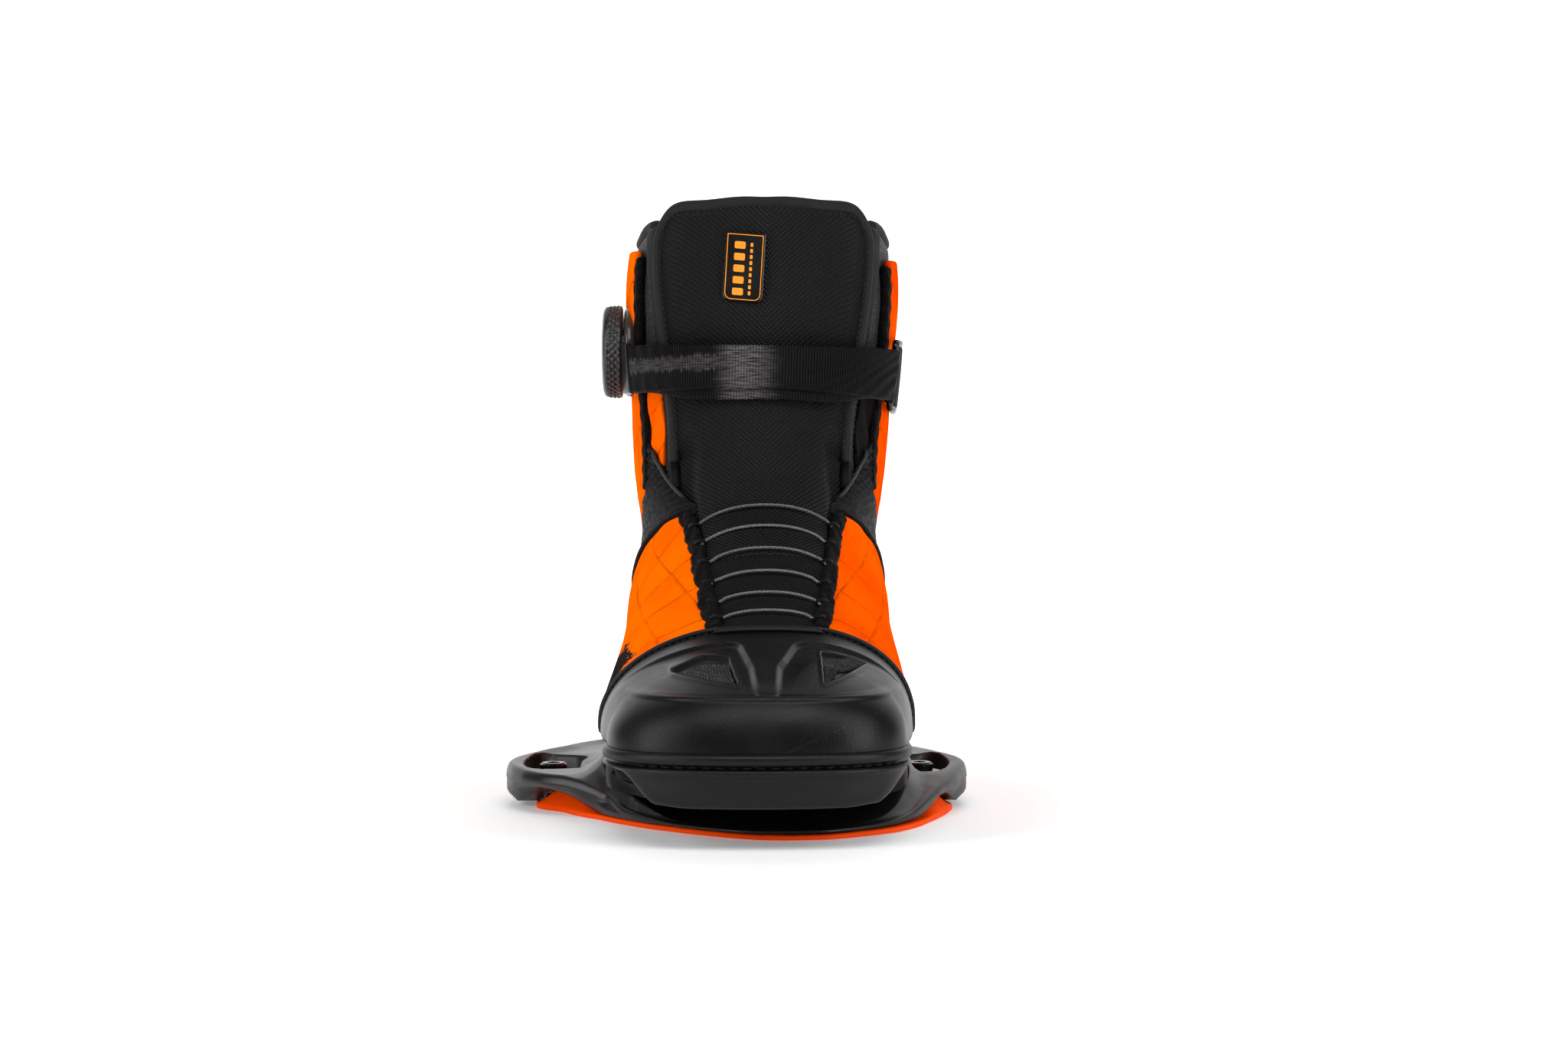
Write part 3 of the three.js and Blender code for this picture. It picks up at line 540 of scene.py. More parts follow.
def pebbled(name, dark, light):
    """Smooth coated leather with a faint pebble grain."""
    look = Look(name, 0.4, specular=0.2)
    p = look.point()
    cloud, fine = look.noise(p, 30, 4), look.noise(p, 0.3, 2)
    color = look.worn(look.mix(cloud, dark, light), (0.03, 0.03, 0.032), 0.3)
    rough = look.remap(cloud + fine * 0.4, 0.5, 0.95, 0.33, 0.48)
    pebbles = look.cells(p, 0.9, "SMOOTH_F1")
    return look.done(color, rough, look.bump(pebbles, 0.05, look.bump(fine, 0.02)))


def chevron_weave(name, centre=2.0, pitch=1.1):
    """Beaded ballistic weave whose rows slope away from a middle line, with painted highlights on the
    beads.
    """
    look = Look(name, 0.4, specular=0.14)
    u, v = look.uv()
    p = look.point()
    slope = abs(u - centre) * 0.42 + v
    odd = look.math("FLOOR", slope / pitch) % 2.0 * 0.72
    bead = look.wavy(u + odd, 1.44) ** 0.8 * abs(look.math("SINE", slope * (math.pi / pitch)))
    thread = look.noise(p, 0.25, 2)
    # Painted highlight and shade: colour runs from near black between the beads to lighter on their tops.
    color = look.mix(look.remap(bead, 0.2, 0.9), (0.0005, 0.0004, 0.0005), (0.021, 0.019, 0.0195))
    color = look.mix(look.noise(p, 9, 3) * 0.3, color, (0.004, 0.0038, 0.004))
    rough = look.remap(bead + thread * 0.5, 0.2, 1.2, 0.62, 0.36)
    return look.done(color, rough, look.bump(bead, 0.4, look.bump(thread, 0.04)))


def ribbed(name, along=True, pitch=1.15, cross=0.75, light=(0.013, 0.0115, 0.012), depth=0.35):
    """Corded or ribbed fabric, with its ribs counted along or across the piece."""
    look = Look(name, 0.45, specular=0.09)
    u, v = look.uv()
    p = look.point()
    main, other = (v, u) if along else (u, v)
    rib = look.wavy(main + look.noise(p, 7, 2) * 0.7, pitch)
    height = rib + look.wavy(other, cross) * 0.22
    color = look.mix(look.remap(height, 0.2, 1.1), (0.0008, 0.0007, 0.0007), light)
    rough = look.remap(look.noise(p, 3, 3), 0.3, 0.7, 0.37, 0.57)
    return look.done(color, rough, look.bump(height, depth, look.bump(look.noise(p, 0.25, 2), 0.04)))


def strap_webbing(name, pitch):
    """Polyester strap: ribs across, a band of smoother weave down the middle that fades, and a jagged
    smoother patch, both lightened in colour by a painted sheen.
    """
    look = Look(name, 0.36, specular=0.07)
    u, v = look.uv()
    p = look.point()
    x, _, _ = look.split(p)
    rib = look.wavy(u, pitch)
    row = look.math("FLOOR", u / pitch)
    ragged = look.node("ShaderNodeTexWhiteNoise", {"W": row}, noise_dimensions="1D") * 1.8
    band = look.remap(abs(v - 11.2) + ragged, 3.0, 4.6, 1.0, 0.0)
    # The band fades out as x grows, and its painted sheen fades with it.
    left = look.remap(x, 8, 22, 1.0, 0.0)
    jagged = look.noise(look.vector(0.0, 0.0, v), 1.1, 2) * 16.0 + x
    patch = look.remap(jagged, -3, 8) * look.remap(jagged, 14, 27, 1.0, 0.0)
    satin_and_sheen = look.math("MAXIMUM", band * left * 0.5, patch)
    height = rib * (1.0 - satin_and_sheen * 0.75) + look.wavy(v, 0.55) * (satin_and_sheen * 0.3)
    color = look.mix(look.remap(height, 0.1, 1.0), (0.0006, 0.0005, 0.0005), (0.0085, 0.0075, 0.0078))
    streak = look.noise(look.vector(u * 0.16, v * 1.6), 1.0, 4, 0.65)
    # Painted sheen: streaky lighter colour over the band and the patch.
    painted_sheen = satin_and_sheen * (look.remap(streak, 0.35, 0.68, 0.15, 1.0) * (rib * 0.5 + 0.5))
    color = look.mix(painted_sheen, color, (0.15, 0.14, 0.143))
    rough = look.remap(satin_and_sheen, 0, 1, 0.5, 0.3)
    return look.done(color, rough, look.bump(height, 0.3, look.bump(look.noise(p, 0.22, 2), 0.04)))


def velvet(name):
    """Dense brushed pile, with tufts."""
    look = Look(name, 0.75, specular=0.05, sheen_weight=0.015, sheen_roughness=0.35)
    p = look.point()
    tuft, pile = look.noise(p, 1.3, 5, 0.7), look.noise(p, 0.3, 3, 0.7)
    color = look.mix(look.remap(tuft, 0.3, 0.75), (0.0007, 0.0006, 0.0006), (0.010, 0.0085, 0.0085))
    rough = look.remap(pile, 0.3, 0.7, 0.55, 0.85)
    return look.done(color, rough, look.bump(tuft, 0.55, look.bump(pile, 0.15)))


def neoprene(name, tone):
    """Smooth four-way stretch cloth over foam."""
    look = Look(name, 0.5, specular=0.09, sheen_weight=0.01)
    p = look.point()
    u, v = look.uv()
    knit = look.wavy(u, 0.42) * look.wavy(v, 0.36)
    cloud = look.noise(p, 12, 4)
    color = look.mix(cloud, (tone * 0.75, tone * 0.75, tone * 0.8), (tone * 1.5, tone * 1.45, tone * 1.5))
    normal = look.bump(look.noise(p, 7, 3), 0.5, look.bump(knit, 0.03), 0.6)
    return look.done(color, look.remap(cloud, 0.3, 0.7, 0.5, 0.68), normal)


def spacer_mesh(name, across=1.7, along=1.5):
    """Coarse open mesh with shinier knuckles that carry painted glints."""
    look = Look(name, 0.35, specular=0.35, sheen_weight=0.02)
    p = look.point()
    u, v = look.uv()
    shift = look.math("FLOOR", v / along) % 2.0 * (across / 2)
    hole = look.length(look.middle((u + shift) / across), look.middle(v / along))
    wall = look.remap(look.noise(p, 0.9, 3) * 0.16 + hole, 0.34, 0.5)
    spark = wall * look.remap(look.noise(p, 0.8, 4, 0.7), 0.5, 0.7)
    color = look.mix(wall, (0.0015, 0.0015, 0.0015), (0.02, 0.02, 0.022))
    # Painted glints: specks on the mesh walls are coloured light grey.
    color = look.mix(spark, color, (0.11, 0.11, 0.115))
    return look.done(color, look.remap(spark, 0, 1, 0.6, 0.3), look.bump(wall, 0.7))


def twisted(name, bright, dark, pitch=1.9):
    """Twisted metallic cord."""
    look = Look(name, 0.32, specular=0.6, metallic=0.35)
    u, v = look.uv()
    strand = look.wavy(u * 0.72 + v, pitch / 2)
    color = look.mix(look.remap(strand, 0.15, 0.85), dark, bright)
    dull = look.remap(look.noise(look.point(), 5, 3), 0.45, 0.7)
    color = look.mix(dull, color, tuple(0.45 * c for c in bright))
    return look.done(color, look.remap(strand, 0, 1, 0.55, 0.28), look.bump(strand, 0.25))


def braided(name, tone):
    """Cord braided from two sets of strands."""
    look = Look(name, 0.42, specular=0.3)
    u, v = look.uv()
    weave = look.math("MAXIMUM", look.wavy(v + u, 1.3), look.wavy(v - u, 1.3))
    color = look.mix(look.remap(weave, 0.5, 1.0), (0.002, 0.002, 0.002), tone)
    return look.done(color, look.remap(weave, 0.5, 1, 0.6, 0.36), look.bump(weave, 0.3))


def knurled(name, pitch=2.1):
    """Rubber with a fine diamond tread."""
    look = Look(name, 0.55, specular=0.08)
    p = look.point()
    x, _, z = look.split(p)
    valley = look.math("MINIMUM", abs(look.middle((x + z) / pitch)), abs(look.middle((x - z) / pitch)))
    diamond = look.remap(valley, 0.02, 0.2)
    color = look.mix(diamond, (0.004, 0.0038, 0.0038), (0.0095, 0.009, 0.009))
    color = look.mix(look.noise(p, 18, 4) * 0.5, color, (0.013, 0.012, 0.012))
    rough = look.remap(look.noise(p, 4, 3), 0.3, 0.7, 0.56, 0.72)
    return look.done(color, rough, look.bump(diamond, 0.12, look.bump(look.noise(p, 0.3, 2), 0.03)))


def foam_rubber(name, base, deep, roughness=0.6):
    """Closed-cell foam with fine pores."""
    look = Look(name, roughness, specular=0.02)
    p = look.point()
    cloud = look.noise(p, 20, 4)
    color = look.worn(look.mix(cloud, base, deep), tuple(min(1, 1.2 * c + 0.03) for c in base), 0.4)
    rough = look.remap(cloud, 0.3, 0.7, roughness - 0.08, roughness + 0.08)
    return look.done(color, rough, look.bump(look.cells(p, 0.55), 0.06))


def steel(name, tone, roughness):
    """Brushed metal with cloudy tone."""
    look = Look(name, roughness, metallic=1.0)
    p = look.point()
    x, y, z = look.split(p)
    scratch, cloud = look.noise(look.vector(x * 6.0, y, z), 0.8, 4, 0.7), look.noise(p, 6, 3)
    color = look.mix(cloud, (tone * 0.8, tone * 0.8, tone * 0.82), (tone, tone, tone * 1.02))
    rough = look.remap(scratch + cloud, 0.6, 1.4, roughness - 0.08, roughness + 0.16)
    return look.done(color, rough, look.bump(scratch, 0.02))


STRAP_RIB = 1.22
ORANGE_LATERAL = orange_shell("orange_shell_lateral", blots=[((-50, -36, 57), (19, 11), 4.0)])
# Painted shade: the medial oranges are darker, redder copies of the lateral ones.
ORANGE_MEDIAL_SHADED = orange_shell("orange_shell_medial_shaded", base=(0.97, 0.10, 0.0), deep=(0.86, 0.068, 0.0))
ORANGE_CUFF = orange_shell("orange_cuff", base=(1.0, 0.14, 0.0), grid=(24.0, 21.0))
ORANGE_CUFF_MEDIAL_SHADED = orange_shell("orange_cuff_medial_shaded", base=(0.93, 0.08, 0.0), deep=(0.78, 0.052, 0.0),
                                  blots=[((66, 88, 200), (12, 20), 5.0)], grid=(24.0, 21.0))
CAP_LEATHER = pebbled("cap_leather", (0.0018, 0.0016, 0.0019), (0.0045, 0.0042, 0.0047))
LINING = velvet("velvet_lining")
TONGUE_WEAVE = chevron_weave("tongue_weave")
GUSSET_RIB = ribbed("gusset_rib", along=False)
LACE_PANEL = ribbed("lace_panel", pitch=0.9, cross=0.5, depth=0.2, light=(0.012, 0.0105, 0.011))
BINDING = neoprene("binding_cloth", 0.008)
BINDING_LIGHT = neoprene("binding_cloth_light", 0.013)
MESH = spacer_mesh("spacer_mesh")
STRAP = strap_webbing("strap_webbing", STRAP_RIB)
WEBBING = ribbed("loop_webbing", pitch=0.8, cross=0.6, depth=0.15, light=(0.008, 0.007, 0.007))
CORD = twisted("lace_cord", (0.26, 0.26, 0.275), (0.02, 0.02, 0.022))
BRAID = braided("braided_cord", (0.032, 0.03, 0.031))
THREAD = braided("stitch_thread", (0.022, 0.021, 0.021))
RUBBER = moulded("rubber_black", (0.0035, 0.0033, 0.0035), (0.0085, 0.008, 0.0083), 0.42)
SOLE_RUBBER = moulded("sole_rubber", (0.0025, 0.0023, 0.0025), (0.006, 0.0055, 0.0058), 0.72, specular=0.05,
                      wear=0.03)
FRAME_PLASTIC = moulded("frame_plastic", (0.006, 0.0055, 0.0055), (0.013, 0.012, 0.012), 0.4, 0.5, 0.04,
                        specular=0.4)
TREAD = knurled("toe_tread")
GASKET = foam_rubber("gasket_foam", (1.0, 0.078, 0.0), (0.97, 0.062, 0.0))
HOUSING = moulded("housing_plastic", (0.035, 0.027, 0.023), (0.06, 0.048, 0.042), 0.26, 0.5, 0.02,
                  coat=0.35)
GRIP = moulded("grip_rubber", (0.007, 0.006, 0.006), (0.02, 0.017, 0.016), 0.34, specular=0.45)
GLOSS = moulded("gloss_black", (0.003, 0.003, 0.003), (0.008, 0.008, 0.0085), 0.16, 0.6, 0.01, coat=0.4)
BADGE_INK = foam_rubber("badge_ink", (1.0, 0.30, 0.02), (0.95, 0.2, 0.01), 0.4)
BUCKLE_PLASTIC = moulded("buckle_plastic", (0.006, 0.006, 0.006), (0.016, 0.016, 0.017), 0.3, 0.5, 0.02,
                         coat=0.2)
STEEL = steel("stainless", 0.34, 0.34)
DARK_STEEL = steel("blackened_steel", 0.045, 0.26)
FOAM = foam_rubber("liner_foam", (0.02, 0.02, 0.021), (0.012, 0.012, 0.013), 0.8)


def wear(piece, materials):
    """Gives a piece its materials: the second one, if any, goes on its inner faces."""
    piece.data.materials.clear()
    for m in materials:
        piece.data.materials.append(m)
    if len(materials) == 1:
        piece.data.polygons.foreach_set("material_index", np.zeros(len(piece.data.polygons), int))


def place(piece, body, materials, nodes=()):
    """Dresses a piece, hides the solid nodes it stands for, and hangs it on its body so that it rides
    along.
    A piece on the ankle is not hung on a body: its place is baked into its points."""
    wear(piece, materials)
    if nodes:
        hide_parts(*nodes)
    if body == "ankle":
        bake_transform(piece)
    else:
        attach(piece, body)


# ------------------------------------------------------------------ sole and toe
def sole_half(y, inset=0.0):
    """Half the sole's width at y, drawn in by inset."""
    nose = np.clip((TOE_Y - y) / (NOSE - inset), 0, 1)
    heel = np.clip((y - 105) / (47 - inset), 0, 1)
    half = np.interp(y, [-105, -60, -20, 40, 105], [57, 60, 57, 51, 47]) - inset
    return half * (1 - nose ** 2.6) ** (1 / 2.2) * (1 - heel ** 2.2) ** 0.5


def sole_centre(y):
    """x of the sole's middle line at y."""
    return 8 + np.clip((y + 40) / 150, 0, 1)


def sole_line(y_back, count):
    """Points and outward directions along the sole's edge, from y_back round the nose to y_back."""
    y = lerp(y_back, TOE_Y - NOSE, np.sin(np.linspace(0, math.pi / 2, count)) ** 0.9)
    left = np.stack([sole_centre(y) - sole_half(y), y], 1)
    right = np.stack([sole_centre(y) + sole_half(y), y], 1)[::-1][1:]
    p = evenly(np.concatenate([left, right]), 2 * count - 1)
    tangent = unit(np.gradient(p, axis=0))
    normal = np.stack([-tangent[:, 1], tangent[:, 0]], 1)
    outward = np.sign(np.sum(normal * (p - [8.0, -40.0]), axis=1, keepdims=True))
    return p, normal * outward


def rim_band(name, y_back, profile, count, taper, panel):
    """A closed band round the toe: profile (offset, height) pairs carried round the sole's edge. The panel
    (first and last row of the profile, first and last x) takes the second material."""
    p, n = sole_line(y_back, count)
    profile = np.asarray(profile, float)
    k, m = len(p), len(profile)
    offset, height = (np.broadcast_to(column, (k, m)) for column in profile.T)
    offset, height = taper(p, offset, height)
    verts = np.concatenate([p[:, None] + n[:, None] * offset[..., None], height[..., None]], -1)
    grid, _, cells = ring_grid(k, m)
    faces = cells.reshape(-1, 4).tolist() + [grid[0].tolist(), grid[-1][::-1].tolist()]
    first, last, x0, x1 = panel
    rows = (first <= np.arange(m)) & (np.arange(m) < last)
    columns = (x0 < p[:-1, 0]) & (p[:-1, 0] < x1) & (p[:-1, 1] < TOE_Y)
    index = np.append((columns[:, None] & rows).ravel(), [False, False]).astype(int)
    uv = np.stack(np.broadcast_arrays(running(p)[:, None], profile[:, 1]), -1).reshape(-1, 2)
    return make_object(name, verts.reshape(-1, 3), faces, uv, index)


SPINE_LEFT = ([56, 66, 72, 76], [9.2, 6.6, 2.2, -4.0])
SPINE_RIGHT = ([56, 66, 72, 76], [14.2, 15.6, 22.0, 28.0])
CREASE, CAP_MIDDLE = 56.8, 11
VENTS = {"lateral": [(-24.4, 64.4), (-12.6, 68.8), (-3.4, 68.7), (-0.2, 61.9)],
         "medial": [(33.2, 69.9), (46.6, 68.6), (50.2, 66.2), (33.9, 62.1)]}


def polygon_distance(px, pz, polygon):
    """Distance to a polygon's edge, negative inside."""
    best = np.full(px.shape, 1e9)
    inside = np.zeros(px.shape, bool)
    for (x0, z0), (x1, z1) in zip(polygon, polygon[1:] + polygon[:1]):
        ex, ez = x1 - x0, z1 - z0
        t = np.clip(((px - x0) * ex + (pz - z0) * ez) / (ex * ex + ez * ez), 0, 1)
        best = np.minimum(best, np.hypot(px - x0 - t * ex, pz - z0 - t * ez))
        crosses = (z0 > pz) != (z1 > pz)
        with np.errstate(divide="ignore", invalid="ignore"):
            inside ^= crosses & (px < (x1 - x0) * (pz - z0) / (z1 - z0 + 1e-12) + x0)
    return np.where(inside, -best, best)


def cap_relief(q):
    """Recesses beside the cap's spine, its crease, and the rims of its vents."""
    x, y, z = q["x"], q["y"], q["z"]
    left = np.interp(z, *SPINE_LEFT) - x
    right = x - np.interp(z, *SPINE_RIGHT)
    inward = np.maximum(left, right)
    upper = (-79.5 - y) * 0.9
    lower = (z - CREASE) * 1.1
    corner = 7.0
    d = np.minimum(inward, upper)
    both = (inward < corner) & (upper < corner)
    d = np.where(both, corner - np.hypot(corner - inward, corner - upper), d)
    d = np.minimum(d, lower)
    fade = 1 - 0.85 * smooth(34, 56, np.abs(x - CAP_MIDDLE))
    out = -1.7 * smooth(-0.3, 2.2, d) * fade
    out += 0.75 * smooth(3, 13, d) * fade
    front = smooth(-82, -87.5, y)
    bead = smooth(1.3, 0.1, np.abs(z - CREASE + 0.6))
    out += 0.8 * bead * smooth(56, 46, np.abs(x - CAP_MIDDLE)) * smooth(-80, -100, y)
    for side, polygon in VENTS.items():
        e = polygon_distance(x, z, polygon)
        out += front * (0.5 * smooth(2.3, 0.9, e) - 2.2 * smooth(0.6, -0.2, e))
    return out


def cap_at(a, b):
    s = lerp(-1, 1.99, a)
    return s, lerp(-1, 1, b) * angle_where(35.5, np.maximum(s, -0.97))


toe_cap = shell("toe_cap_skin", cap_at, -3.2, 0, 230, 330, roll=(0, 1.5, 0, 0), relief=cap_relief)
place(toe_cap, "boot", [CAP_LEATHER], ["toe_cap", "toe_spine"])


def corner_on_cap(x, z):
    """Section and angle of the cap's point at x, z, seen from the front."""
    s, v = np.meshgrid(np.linspace(-0.6, 1.95, 400), np.linspace(-75, 75, 600), indexing="ij")
    p = surface(s, v)
    best = np.argmin((p[..., 0] - x) ** 2 + (p[..., 2] - z) ** 2)
    return np.array([s.flat[best], v.flat[best]])


def honeycomb(q):
    """Walls between small hexagonal holes."""
    pitch = 1.55
    u, w = q["across"] / pitch, q["along"] / (pitch * 0.866)
    best = np.full(u.shape, 9.0)
    row = np.round(w)
    for dr in (-1, 0, 1):
        r = row + dr
        shift = 0.5 * np.mod(r, 2)
        for dc in (-0.5, 0.5):
            c = np.round(u - shift + dc) + shift
            best = np.minimum(best, np.hypot(u - c, (w - r) * 0.866))
    return 0.85 * smooth(0.30, 0.46, best) - 0.4


for side, polygon in VENTS.items():
    outer_low, outer_high, inner_high, inner_low = (corner_on_cap(*c) for c in polygon)

    def vent_at(a, b):
        low = outer_low[:, None, None] * (1 - b) + inner_low[:, None, None] * b
        high = outer_high[:, None, None] * (1 - b) + inner_high[:, None, None] * b
        return tuple(low * (1 - a) + high * a)

    insert = shell(side + "_toe_vent_mesh", vent_at, -3.4, -1.9, 70, 130, roll=(0.3,) * 4, relief=honeycomb)
    place(insert, "boot", [MESH], [side + "_toe_vent"])

# Brow piping and throat lip, with the seam that sews the cap down.
BROW_PIPING_RADIUS = 1.15
for side, sign in (("lateral", -1), ("medial", 1)):
    v = np.linspace(17, 101, 60)
    p, n = on_surface(np.full(60, 2.03), sign * v, 0.5 - 0.7 * smooth(80, 96, v))
    place(tube(side + "_brow_piping", p, BROW_PIPING_RADIUS, ups=n), "boot", [RUBBER])
    p, n = on_surface(np.full(60, 1.93), sign * v, 0.1)
    place(stitches(side + "_brow_stitches", p, n, 3.0, 2.2, 0.34), "boot", [THREAD])
v = np.linspace(-17.5, 17.5, 50)
p, n = on_surface(1.97 - 0.10 * np.cos(np.radians(v * 90 / 17.5)) ** 0.7, v, 0.9)
LIP_OUTLINE = [(-2.4, -0.9), (-1.9, 0.5), (-0.6, 1.1), (0.9, 0.9), (1.9, 0.1), (2.2, -0.9)]
place(sweep("throat_lip", p, LIP_OUTLINE, ups=n), "boot", [RUBBER])


def toe_taper(p, offset, height):
    """The rand's lower edge rises toward the sides of the toe, and the band fades into the wall behind."""
    side = np.abs(p[:, 0] - TOE_MIDDLE)
    lift = 1.0 * smooth(30, 44, side) + 11.5 * smooth(42, 57, side)
    low = np.clip((30.5 - height) / 13.3, 0, 1)
    height = height + low * lift[:, None] * smooth(-78, -100, p[:, 1])[:, None]
    back = smooth(-112, -80, p[:, 1])[:, None]
    offset = lerp(offset, np.minimum(offset, 0.6), back)
    height = lerp(height, np.minimum(height, 31.0), smooth(-100, -78, p[:, 1])[:, None])
    return offset, height


BUMPER_PROFILE = [(-2.6, 16.2), (-0.9, 16.3), (0.0, 16.9), (0.35, 17.9), (0.55, 18.3), (0.9, 22.0),
                  (1.15, 25.5), (1.3, 27.9), (1.5, 28.4), (2.2, 28.8), (2.55, 29.4), (2.6, 30.3),
                  (2.3, 30.9), (1.3, 31.2), (-0.9, 31.4), (-0.9, 32.5), (1.4, 32.7), (2.4, 33.1),
                  (2.9, 34.0), (2.9, 35.6), (2.4, 36.6), (1.4, 37.1), (0.2, 37.3), (-3.2, 37.2),
                  (-3.6, 16.2)]
bumper = rim_band("toe_bumper_skin", -76, BUMPER_PROFILE, count=190, taper=toe_taper, panel=(4, 7, -31, 57))
place(bumper, "boot", [RUBBER, TREAD], ["toe_bumper"])
p, n2 = sole_line(-104, 120)
keep = (p[:, 0] > -38) & (p[:, 0] < 62)
path = np.column_stack([p + n2 * 0.2, np.full(len(p), 31.9)])[keep]
normals = np.column_stack([n2, np.zeros(len(n2))])[keep]
place(stitches("toe_rand_stitches", path, normals, 5.2, 3.4, 0.45, 0.3), "boot", [THREAD])


def sole_ring(inset):
    """The sole's whole outline, drawn in by inset."""
    y = lerp(TOE_Y - NOSE + inset, 152 - inset, (1 - np.cos(np.linspace(0, math.pi, 400))) / 2)
    half, centre = sole_half(y, inset), sole_centre(y)
    ring = np.concatenate([np.stack([centre + half, y], 1), np.stack([centre - half, y], 1)[::-1]])
    return evenly(ring, 360, endpoint=False)


def sole_layer(name, levels):
    """A closed layer of the sole, tucked in below the corners of the toe: (inset, height) pairs from its
    middle below to its middle above."""
    rings = []
    for inset, height in levels:
        ring = sole_ring(inset)
        if inset > 20:
            ring = (ring - [8, 0]) * 0.5 + [8, 0]
        aside = ring[:, 0] - TOE_MIDDLE
        tuck = smooth(27, 18, height) * smooth(-85, -118, ring[:, 1]) * smooth(30, 58, np.abs(aside))
        ring[:, 0] -= np.sign(aside) * 11 * tuck
        ring[:, 1] += 4 * tuck
        rings.append(np.column_stack([ring, np.full(len(ring), height)]))
    return stacked(name, rings)


outsole = sole_layer("outsole_skin", [(30, 16.6), (6, 16.6), (3.2, 16.5), (2.2, 16.5), (1.5, 16.8),
                                      (1.1, 17.6), (0.9, 19.5), (0.8, 22.6), (1.0, 23.6), (2.0, 24.0),
                                      (30, 24.0)])
place(outsole, "boot", [SOLE_RUBBER], ["outsole"])
midsole = sole_layer("midsole_skin", [(30, 24.3), (2.6, 24.3), (1.8, 24.6), (1.5, 25.2), (1.4, 28.0),
                                      (1.2, 29.8), (1.6, 30.5), (2.4, 30.8), (30, 30.8)])
place(midsole, "boot", [SOLE_RUBBER], ["midsole"])

# Solid nodes that are shown as they are, with their edges rounded by a radius in mm.
ROUNDED = [("lasting_board", FOAM, 0.5), ("insole", FOAM, 0.8), ("dial_spool", HOUSING, 0.2)]
for side in ("lateral", "medial"):
    ROUNDED += [(side + "_mount_washer", STEEL, 0.2), (side + "_mount_screw", DARK_STEEL, 0.2)]
for node, material, radius in ROUNDED:
    CAD[node].data.materials.clear()
    CAD[node].data.materials.append(material)
    bevel = CAD[node].modifiers.new("rounded edges", "BEVEL")
    bevel.width = radius * MM
    bevel.segments = 3
    bevel.limit_method = "ANGLE"
    bevel.angle_limit = math.radians(28)
    bevel.harden_normals = False

# ------------------------------------------------------------------ base
# Arc slots and the toothed basins round them: radii and heights in mm, ends in degrees.
SLOT_RADIUS, SLOT_HALF, SLOT_END = 76.2, 3.6, 13.0
BASIN_IN, BASIN_OUT, BASIN_END = 65.6, 87.8, 19.0
TRAY_FLOOR, BASIN_FLOOR = 15.9, 10.0
TEETH_PITCH, TEETH_DEPTH = 2.6, 0.45
# Thickness of the foam, and how far in from its edge the wedges start.
FOAM_TOP, WEDGE_DEPTH = 1.75, 9.2
# Rails run round the frame from the front over the medial side to the front again: (x, y, z).
REAR = [(95.5, -2), (93.5, 12), (87, 28), (75.5, 50), (61, 74), (45, 96), (24, 109.5), (0, 113)]


def rear_rail(inset, z):
    """The rear's outline drawn in by inset, from the medial side to the lateral side."""
    half = [(x * (1 - inset / math.hypot(x, y)), y * (1 - inset / math.hypot(x, y)), z) for x, y in REAR]
    return half + [(-x, y, z) for x, y, z in half[-2::-1]]


LOWER_EDGE = [(20, -109.8, 2.2), (36, -107, 2.2), (49, -98.2, 2.2), (62, -86, 2.3), (70.5, -72, 2.5),
              (76.5, -58, 4.5), (81.5, -44, 8.2), (85, -32, 8.2), (88, -22, 5.5), (90.5, -12, 2.2),
              *rear_rail(4, 1.2), (-90, -8, 1.6), (-85, -16.5, 5.0), (-78.5, -22, 8.8), (-72, -27, 9.6),
              (-64.5, -36, 6.0), (-55.3, -50.5, 2.4), (-44, -67.5, 2.2), (-26, -86, 2.2),
              (-11.5, -98.4, 2.2), (2, -106.8, 2.2), (10, -109.2, 2.2)]
WIDEST_LOW = [(20, -110, 2.8), (36, -107.3, 2.8), (49, -98.5, 3), (62, -86.5, 3.3), (71, -73, 4),
              (78, -59, 8), (83.5, -45, 10.5), (88, -33, 10.5), (91.5, -22, 9), (94.5, -11, 6),
              *rear_rail(0, 5.2), (-94.5, -9, 6), (-92, -20, 8.8), (-87, -30, 11), (-79, -38, 11.6),
              (-69, -43.5, 10.2), (-57.5, -52, 6.5), (-45, -67.5, 3.6), (-26.5, -86.3, 2.9),
              (-11.8, -98.8, 2.8), (2, -107.2, 2.8), (10, -109.5, 2.8)]
WIDEST_HIGH = [(20, -110, 3.2), (36, -107.2, 3.2), (49, -98.3, 3.4), (62, -86.4, 4), (71, -74, 5.5),
               (78, -60, 9.6), (84, -46, 12.2), (89, -34, 12.2), (92.3, -22, 12), (95, -11, 11.8),
               *rear_rail(-0.3, 11.8), (-95, -9, 11.9), (-92.5, -20.5, 12.2), (-87.5, -31.5, 12.6),
               (-80, -40, 12.9), (-70, -46, 12.6), (-60, -51.5, 10.5), (-51.5, -56, 7.4),
               (-45.5, -68, 4.6), (-27, -86.5, 3.2), (-12, -99, 3.1), (2, -107.3, 3.1), (10, -109.6, 3.1)]
RIM = [(20, -108.4, 3.7), (36, -105.6, 3.7), (48.3, -97, 3.8), (60.4, -85.4, 4.4), (69, -74.5, 6.2),
       (74.5, -63, 9.6), (79.5, -48, 13.4), (84, -35, 15.8), (88, -23, 17), (91.4, -11, 17.7),
       *rear_rail(2.3, 17.9), (-92.8, -9, 17.8), (-90.2, -19.5, 17.7), (-85.5, -30, 17.5),
       (-79.3, -37, 17.2), (-70, -43, 17), (-62.6, -47.5, 15.7), (-52, -54, 11.2), (-43.8, -67, 7),
       (-26.3, -85.6, 3.8), (-12, -97.6, 3.6), (2, -105.6, 3.6), (10, -107.8, 3.6)]
